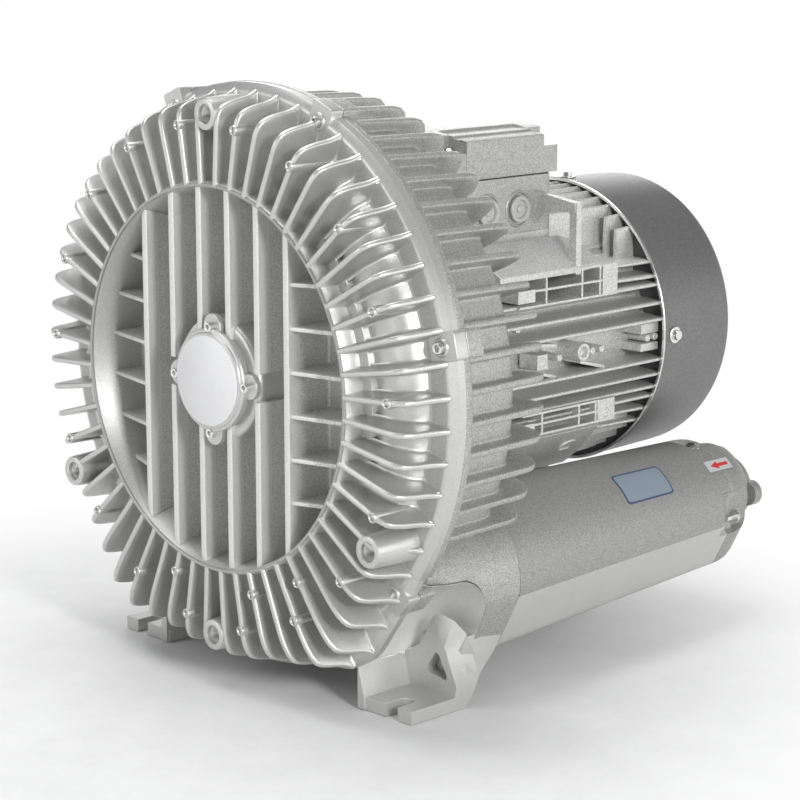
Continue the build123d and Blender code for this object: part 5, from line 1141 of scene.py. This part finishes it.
side_parts = lattice_pad(51.8, 81.5, (307, 359, 385.5), (388, 410), (266, 290))
side_parts += lattice_pad(-75.5, -54.5, (303, 357, 382), (383.5, 409), (272, 291))
print("parts of the lattice pads", len(side_parts))

# %% [markdown]
# Between the fins stand a ring-shaped boss, a square one with a dimple, marks of ejector pins and
# short slanted ribs that stiffen the pads. An arm and a post hold the terminal box on the right
# side only. Each is its own short tube that dips into the barrel, as a boss does in the mould.

# %% Bosses, ribs, arm and post
ring_boss = spun([(9.6, -34), (9.2, -1), (8.4, 0), (5.6, 0), (5.0, -0.8), (4.4, -5.0), (0.1, -6.0)], 32)
pin_boss = spun([(4.2, -30), (3.9, -0.9), (3.2, 0), (1.6, 0), (1.2, -0.8), (0.1, -0.9)], 20)
dimple = spun([(5.4, -8), (5.2, 0.2), (4.4, 0.5), (3.4, -1.2), (0.1, -2.4)], 28)


def on_side(form, lift, places):
    """Copies of a form that point to the right, a little above or below the pads' outer face."""
    return [(aimed(form, (PAD_X + lift, y, z), (1, 0, 0)), False) for y, z in places]


side_parts += on_side(dimple, 0.8, [(400, 72.7), (396.5, -67.8)]) + on_side(dimple, -0.7, [(303.0, -4.4)])
side_parts.append(block((116, PAD_X - 0.9), (295.4, 310.0), (-12.0, 2.8)))
side_parts += on_side(ring_boss, 0.6, [(361.8, -2.1)])
side_parts += on_side(pin_boss, -1.5, [(328.6, -3.7), (377.5, -3.0), (391.0, -3.0), (474.0, -0.6),
                                       (462.0, -1.0)])
for (y0, z0), (y1, z1) in (((280, -10.5), (325, -22.6)), ((359, -12), (396, -21.6)), ((300, 12), (322, 9))):
    rib = np.array([(y0, z0 - 1.5), (y1, z1 - 1.9), (y1, z1 + 1.9), (y0, z0 + 1.5)])
    side_parts.append(prism(rib, 0, 108, PAD_X - 2))
side_parts += [block((108, 139.4), (451, 477.5), z) for z in ((4, 14), (-14, -6))]
side_parts += [block((118, 139.0), (394, 399), (13.5, 19)), block((118, 137), (268, 274), (28, 34))]
arm = softened([(84, 154), (96, 152), (138.6, 146), (138.6, 136), (108, 136.4), (96, 132), (88, 124),
                (84, 120)], [0, 6, 1.5, 1.5, 10, 8, 3, 0])
side_only = [prism(arm, 1, 348.6, 357.4), block((130.6, 140.2), (349.2, 356.8), (76, 146.4))]
piece("side_pads", side_parts + flipped(side_parts) + side_only, MOTOR_CASTING, bevel=0.7)

# %% [markdown]
# Under the terminal box the frame has a sloped shoulder on each side, and below the lower pads a
# slanted panel with a D-shaped rim. The rim is drawn flat, and two directions of the panel carry it
# to its place.

# %% Shoulders and panels
shoulder = np.array([[(94, 240, 108.5), (142, 240, 84.6), (142, 240, 78), (94, 240, 78)],
                     [(94, 372, 108.5), (141.6, 349, 84.4), (141.6, 349, 78), (94, 372, 78)],
                     [(94, 404, 100), (128, 398, 84), (128, 398, 78), (94, 404, 78)]])
PANEL = [(103, -62), (140, -79.5), (136, -84), (110, -112), (92, -126), (60, -104)]
panel = np.stack([level_loop(PANEL, y) * (size, 1, size)
                  for y, size in ((246, 0.97), (250, 1), (388, 1), (392, 0.97))])
up_panel = np.array([136.0 - 110.0, 0, -84.0 + 112.0])
up_panel = up_panel / np.linalg.norm(up_panel)
off_panel = np.array([up_panel[2], 0, -up_panel[0]])
rim_centre = np.array([123.0, 357.0, -98.0]) + off_panel * 0.5
rim_outline = softened([(-9, -7), (9, -7), (9, 7), (-2, 7), (-9, 2)], [1, 1, 1, 5, 4], steps=4)
rim = [rim_centre + off_panel * lift + np.outer(loop[:, 0], (0, 1, 0)) + np.outer(loop[:, 1], up_panel)
       for loop, lift in ((rim_outline, -1.0), (rim_outline, 1.0),
                          (rim_outline * 0.8, 1.0), (rim_outline * 0.8, -1.0))]
pocket = [(panel, False), (np.stack(rim, axis=1), True), (shoulder, False)]
box_seat = [block((-82, 82), (226, 374), (70, 114.2)), block((-34, 34), (404, 456), (-125.5, -90))]
piece("frame_panels", pocket + flipped(pocket) + box_seat, MOTOR_CASTING, bevel=1.0)

# %% [markdown]
# The terminal box sits on top of the motor, where the cables come in. Its lid has four steps on
# each side and low corners for the screws. Steps could be cut from a block, but one outline drawn
# for the right half and mirrored gives them all at once.

# %% Terminal box and lid
box_loop = softened([(-85, 226), (85, 226), (85, 374), (-85, 374)], 8, steps=6)
box_body = [prism(box_loop, 2, 114.1, 169.8)]
ENTRY_Y = (281.0, 325.0)
ENTRY_Z = 138.0
collar = spun([(19, -6), (18.6, 0.2), (17.5, 1.2), (16.2, 1.2), (15.6, 0.4), (15.2, -0.4)], 48)
for y in ENTRY_Y:
    box_body.append((aimed(collar, (85, y, ENTRY_Z), (1, 0, 0)), False))
piece("terminal_box_body", box_body, ROUGH_CASTING, bevel=0.9, replaces=("terminal_box",))
lid_half = [(90, 171.5), (90, 209), (81, 211), (80.4, 209.6), (72, 211.2), (71, 213), (61, 214.2),
            (60, 212.8), (52, 214), (49, 217)]
lid_outline = softened(lid_half + [(-x, z) for x, z in reversed(lid_half)], 1.2, steps=3)
lid = [prism(lid_outline, 1, 247, 356)]
lid_end = [(-66, 171.5), (66, 171.5), (66, 214), (49, 217), (-49, 217), (-66, 214)]
for low, high in ((224, 247.5), (355.5, 376)):
    lid.append(prism(lid_end, 1, low, high))
    lid += [block((63, 89.6), (low, high), (171.8, 198)), block((-89.6, -63), (low, high), (171.8, 198))]
piece("terminal_box_lid", lid, ROUGH_CASTING, bevel=1.0, replaces=("box_lid",))

# %% [markdown]
# Four screws hold the lid at its low corners. Blanking plugs of grey plastic close the two cable
# entries, because no cable is laid yet.

# %% Lid screws and plugs
lid_screw = hexagon_screw(5.0, 3.5, 2.5, 6.5)
screws = [(aimed(lid_screw, (x, y, 198), (0, 0, 1)), False) for x in (-73, 73) for y in (238, 362)]
plug = spun([(12, -10), (12.4, 0), (13.4, 0), (13.4, 2.2), (12.6, 3.0), (9.6, 3.0), (8.8, 2.2),
             (8.4, 0.4), (4.2, 0.4), (3.8, 1.6), (3.0, 2.0), (0.1, 2.0)], 48)
plugs = [(aimed(plug, (86.4, y, ENTRY_Z), (1, 0, 0)), False) for y in ENTRY_Y]
piece("lid_screws", screws, ZINC, replaces=("box_lid_screws",))
piece("entry_plugs", plugs, GREY_PLASTIC, replaces=("cable_plugs",))

# %% [markdown]
# Two thin patches lie on the right silencer: a blue-grey plate with a dark border, and a red arrow
# that shows which way the air goes. A flat plane would float or sink in, so each point is put on the
# crown, which is curved and tapers.

# %% Stickers
def on_silencer(y, clock, lift):
    """Point on the silencer's crown: circle of radius 76.8 shrunk by the taper at y."""
    scale = taper(y)
    turn = np.radians(clock)
    x = SILENCER_X + CROWN_RADIUS * np.sin(turn) * scale
    z = TAPER_Z + (CROWN_Z - TAPER_Z + CROWN_RADIUS * np.cos(turn)) * scale
    return np.stack([x + lift * np.sin(turn), y + 0 * x, z + lift * np.cos(turn)], axis=-1)


def sticker(y_low, y_high, clock_low, clock_high, lift, corner=3.0):
    """Thin patch with rounded corners: lines along Y, pulled in by a circle near its two sides."""
    clocks = np.linspace(clock_low, clock_high, 17)
    width = np.radians(clock_high - clock_low) * 70
    from_edge = np.minimum(np.arange(17), np.arange(17)[::-1]) * width / 16
    short = np.maximum(corner - from_edge, 0)
    pull = corner - np.sqrt(corner ** 2 - short ** 2)
    near = [on_silencer(y_low + pull, clocks, level) for level in (lift, -0.3)]
    far = [on_silencer(y_high - pull, clocks, level) for level in (lift, -0.3)]
    return np.stack([near[0], far[0], far[1], near[1]], axis=1), False


piece("sticker_border", [sticker(353.5, 425.5, 28.6, 56.8, 0.30)], STICKER_EDGE)
piece("sticker", [sticker(355.3, 423.7, 30.1, 55.3, 0.42)], STICKER)


def patch(outline, lift):
    """Thin plate with an outline of (y, clock) pairs, laid on the crown of cap and silencer."""
    y, clock = np.array(outline, dtype=float).T
    return np.stack([on_silencer(y, clock, lift), on_silencer(y, clock, lift - 0.6)]), False


label_outline = [(491, 37.5), (528.5, 37.5), (528.5, 48.5), (491, 48.5)]
arrow_outline = [(497.5, 43), (508, 39.5), (508, 41.7), (524, 41.7), (524, 44.6), (508, 44.6), (508, 46.8)]
piece("arrow_label", [patch(label_outline, 1.2)], LABEL_GREY)
piece("flow_arrow", [patch(arrow_outline, 1.5)], ARROW_RED)

# %% [markdown]
# The frame's other nodes keep their CAD shapes: they are inside, or simple. Each one still gets the
# finish of what it is made of.

# %% Finishes of the CAD nodes
NODE_FINISH = {
    "cast_aluminium": ROUGH_CASTING, "impeller_aluminium": SMOOTH_CASTING, "zinc_steel": ZINC,
    "pale_disc": PALE_DISC, "dark_paint": COVER_PAINT, "shaft_steel": SHAFT_STEEL,
    "bearing_steel": BEARING_STEEL, "core_steel": CORE_STEEL, "end_ring_aluminium": SMOOTH_CASTING,
    "winding_enamel": WINDING, "black_rubber": RUBBER, "dark_plastic": DARK_PLASTIC,
    "grey_plastic": GREY_PLASTIC, "stud_brass": BRASS, "liner_foam": FOAM, "galvanised_steel": GALVANISED}
slot_of = {part["node"]: part["material_slot"] for part in frame["record"]["subparts"]}
for node, obj in frame["nodes"].items():
    material = NODE_FINISH[slot_of[node]]
    if obj.material_slots:
        for place in obj.material_slots:
            place.material = material
    else:
        obj.data.materials.append(material)
print("finished nodes", len(frame["nodes"]))
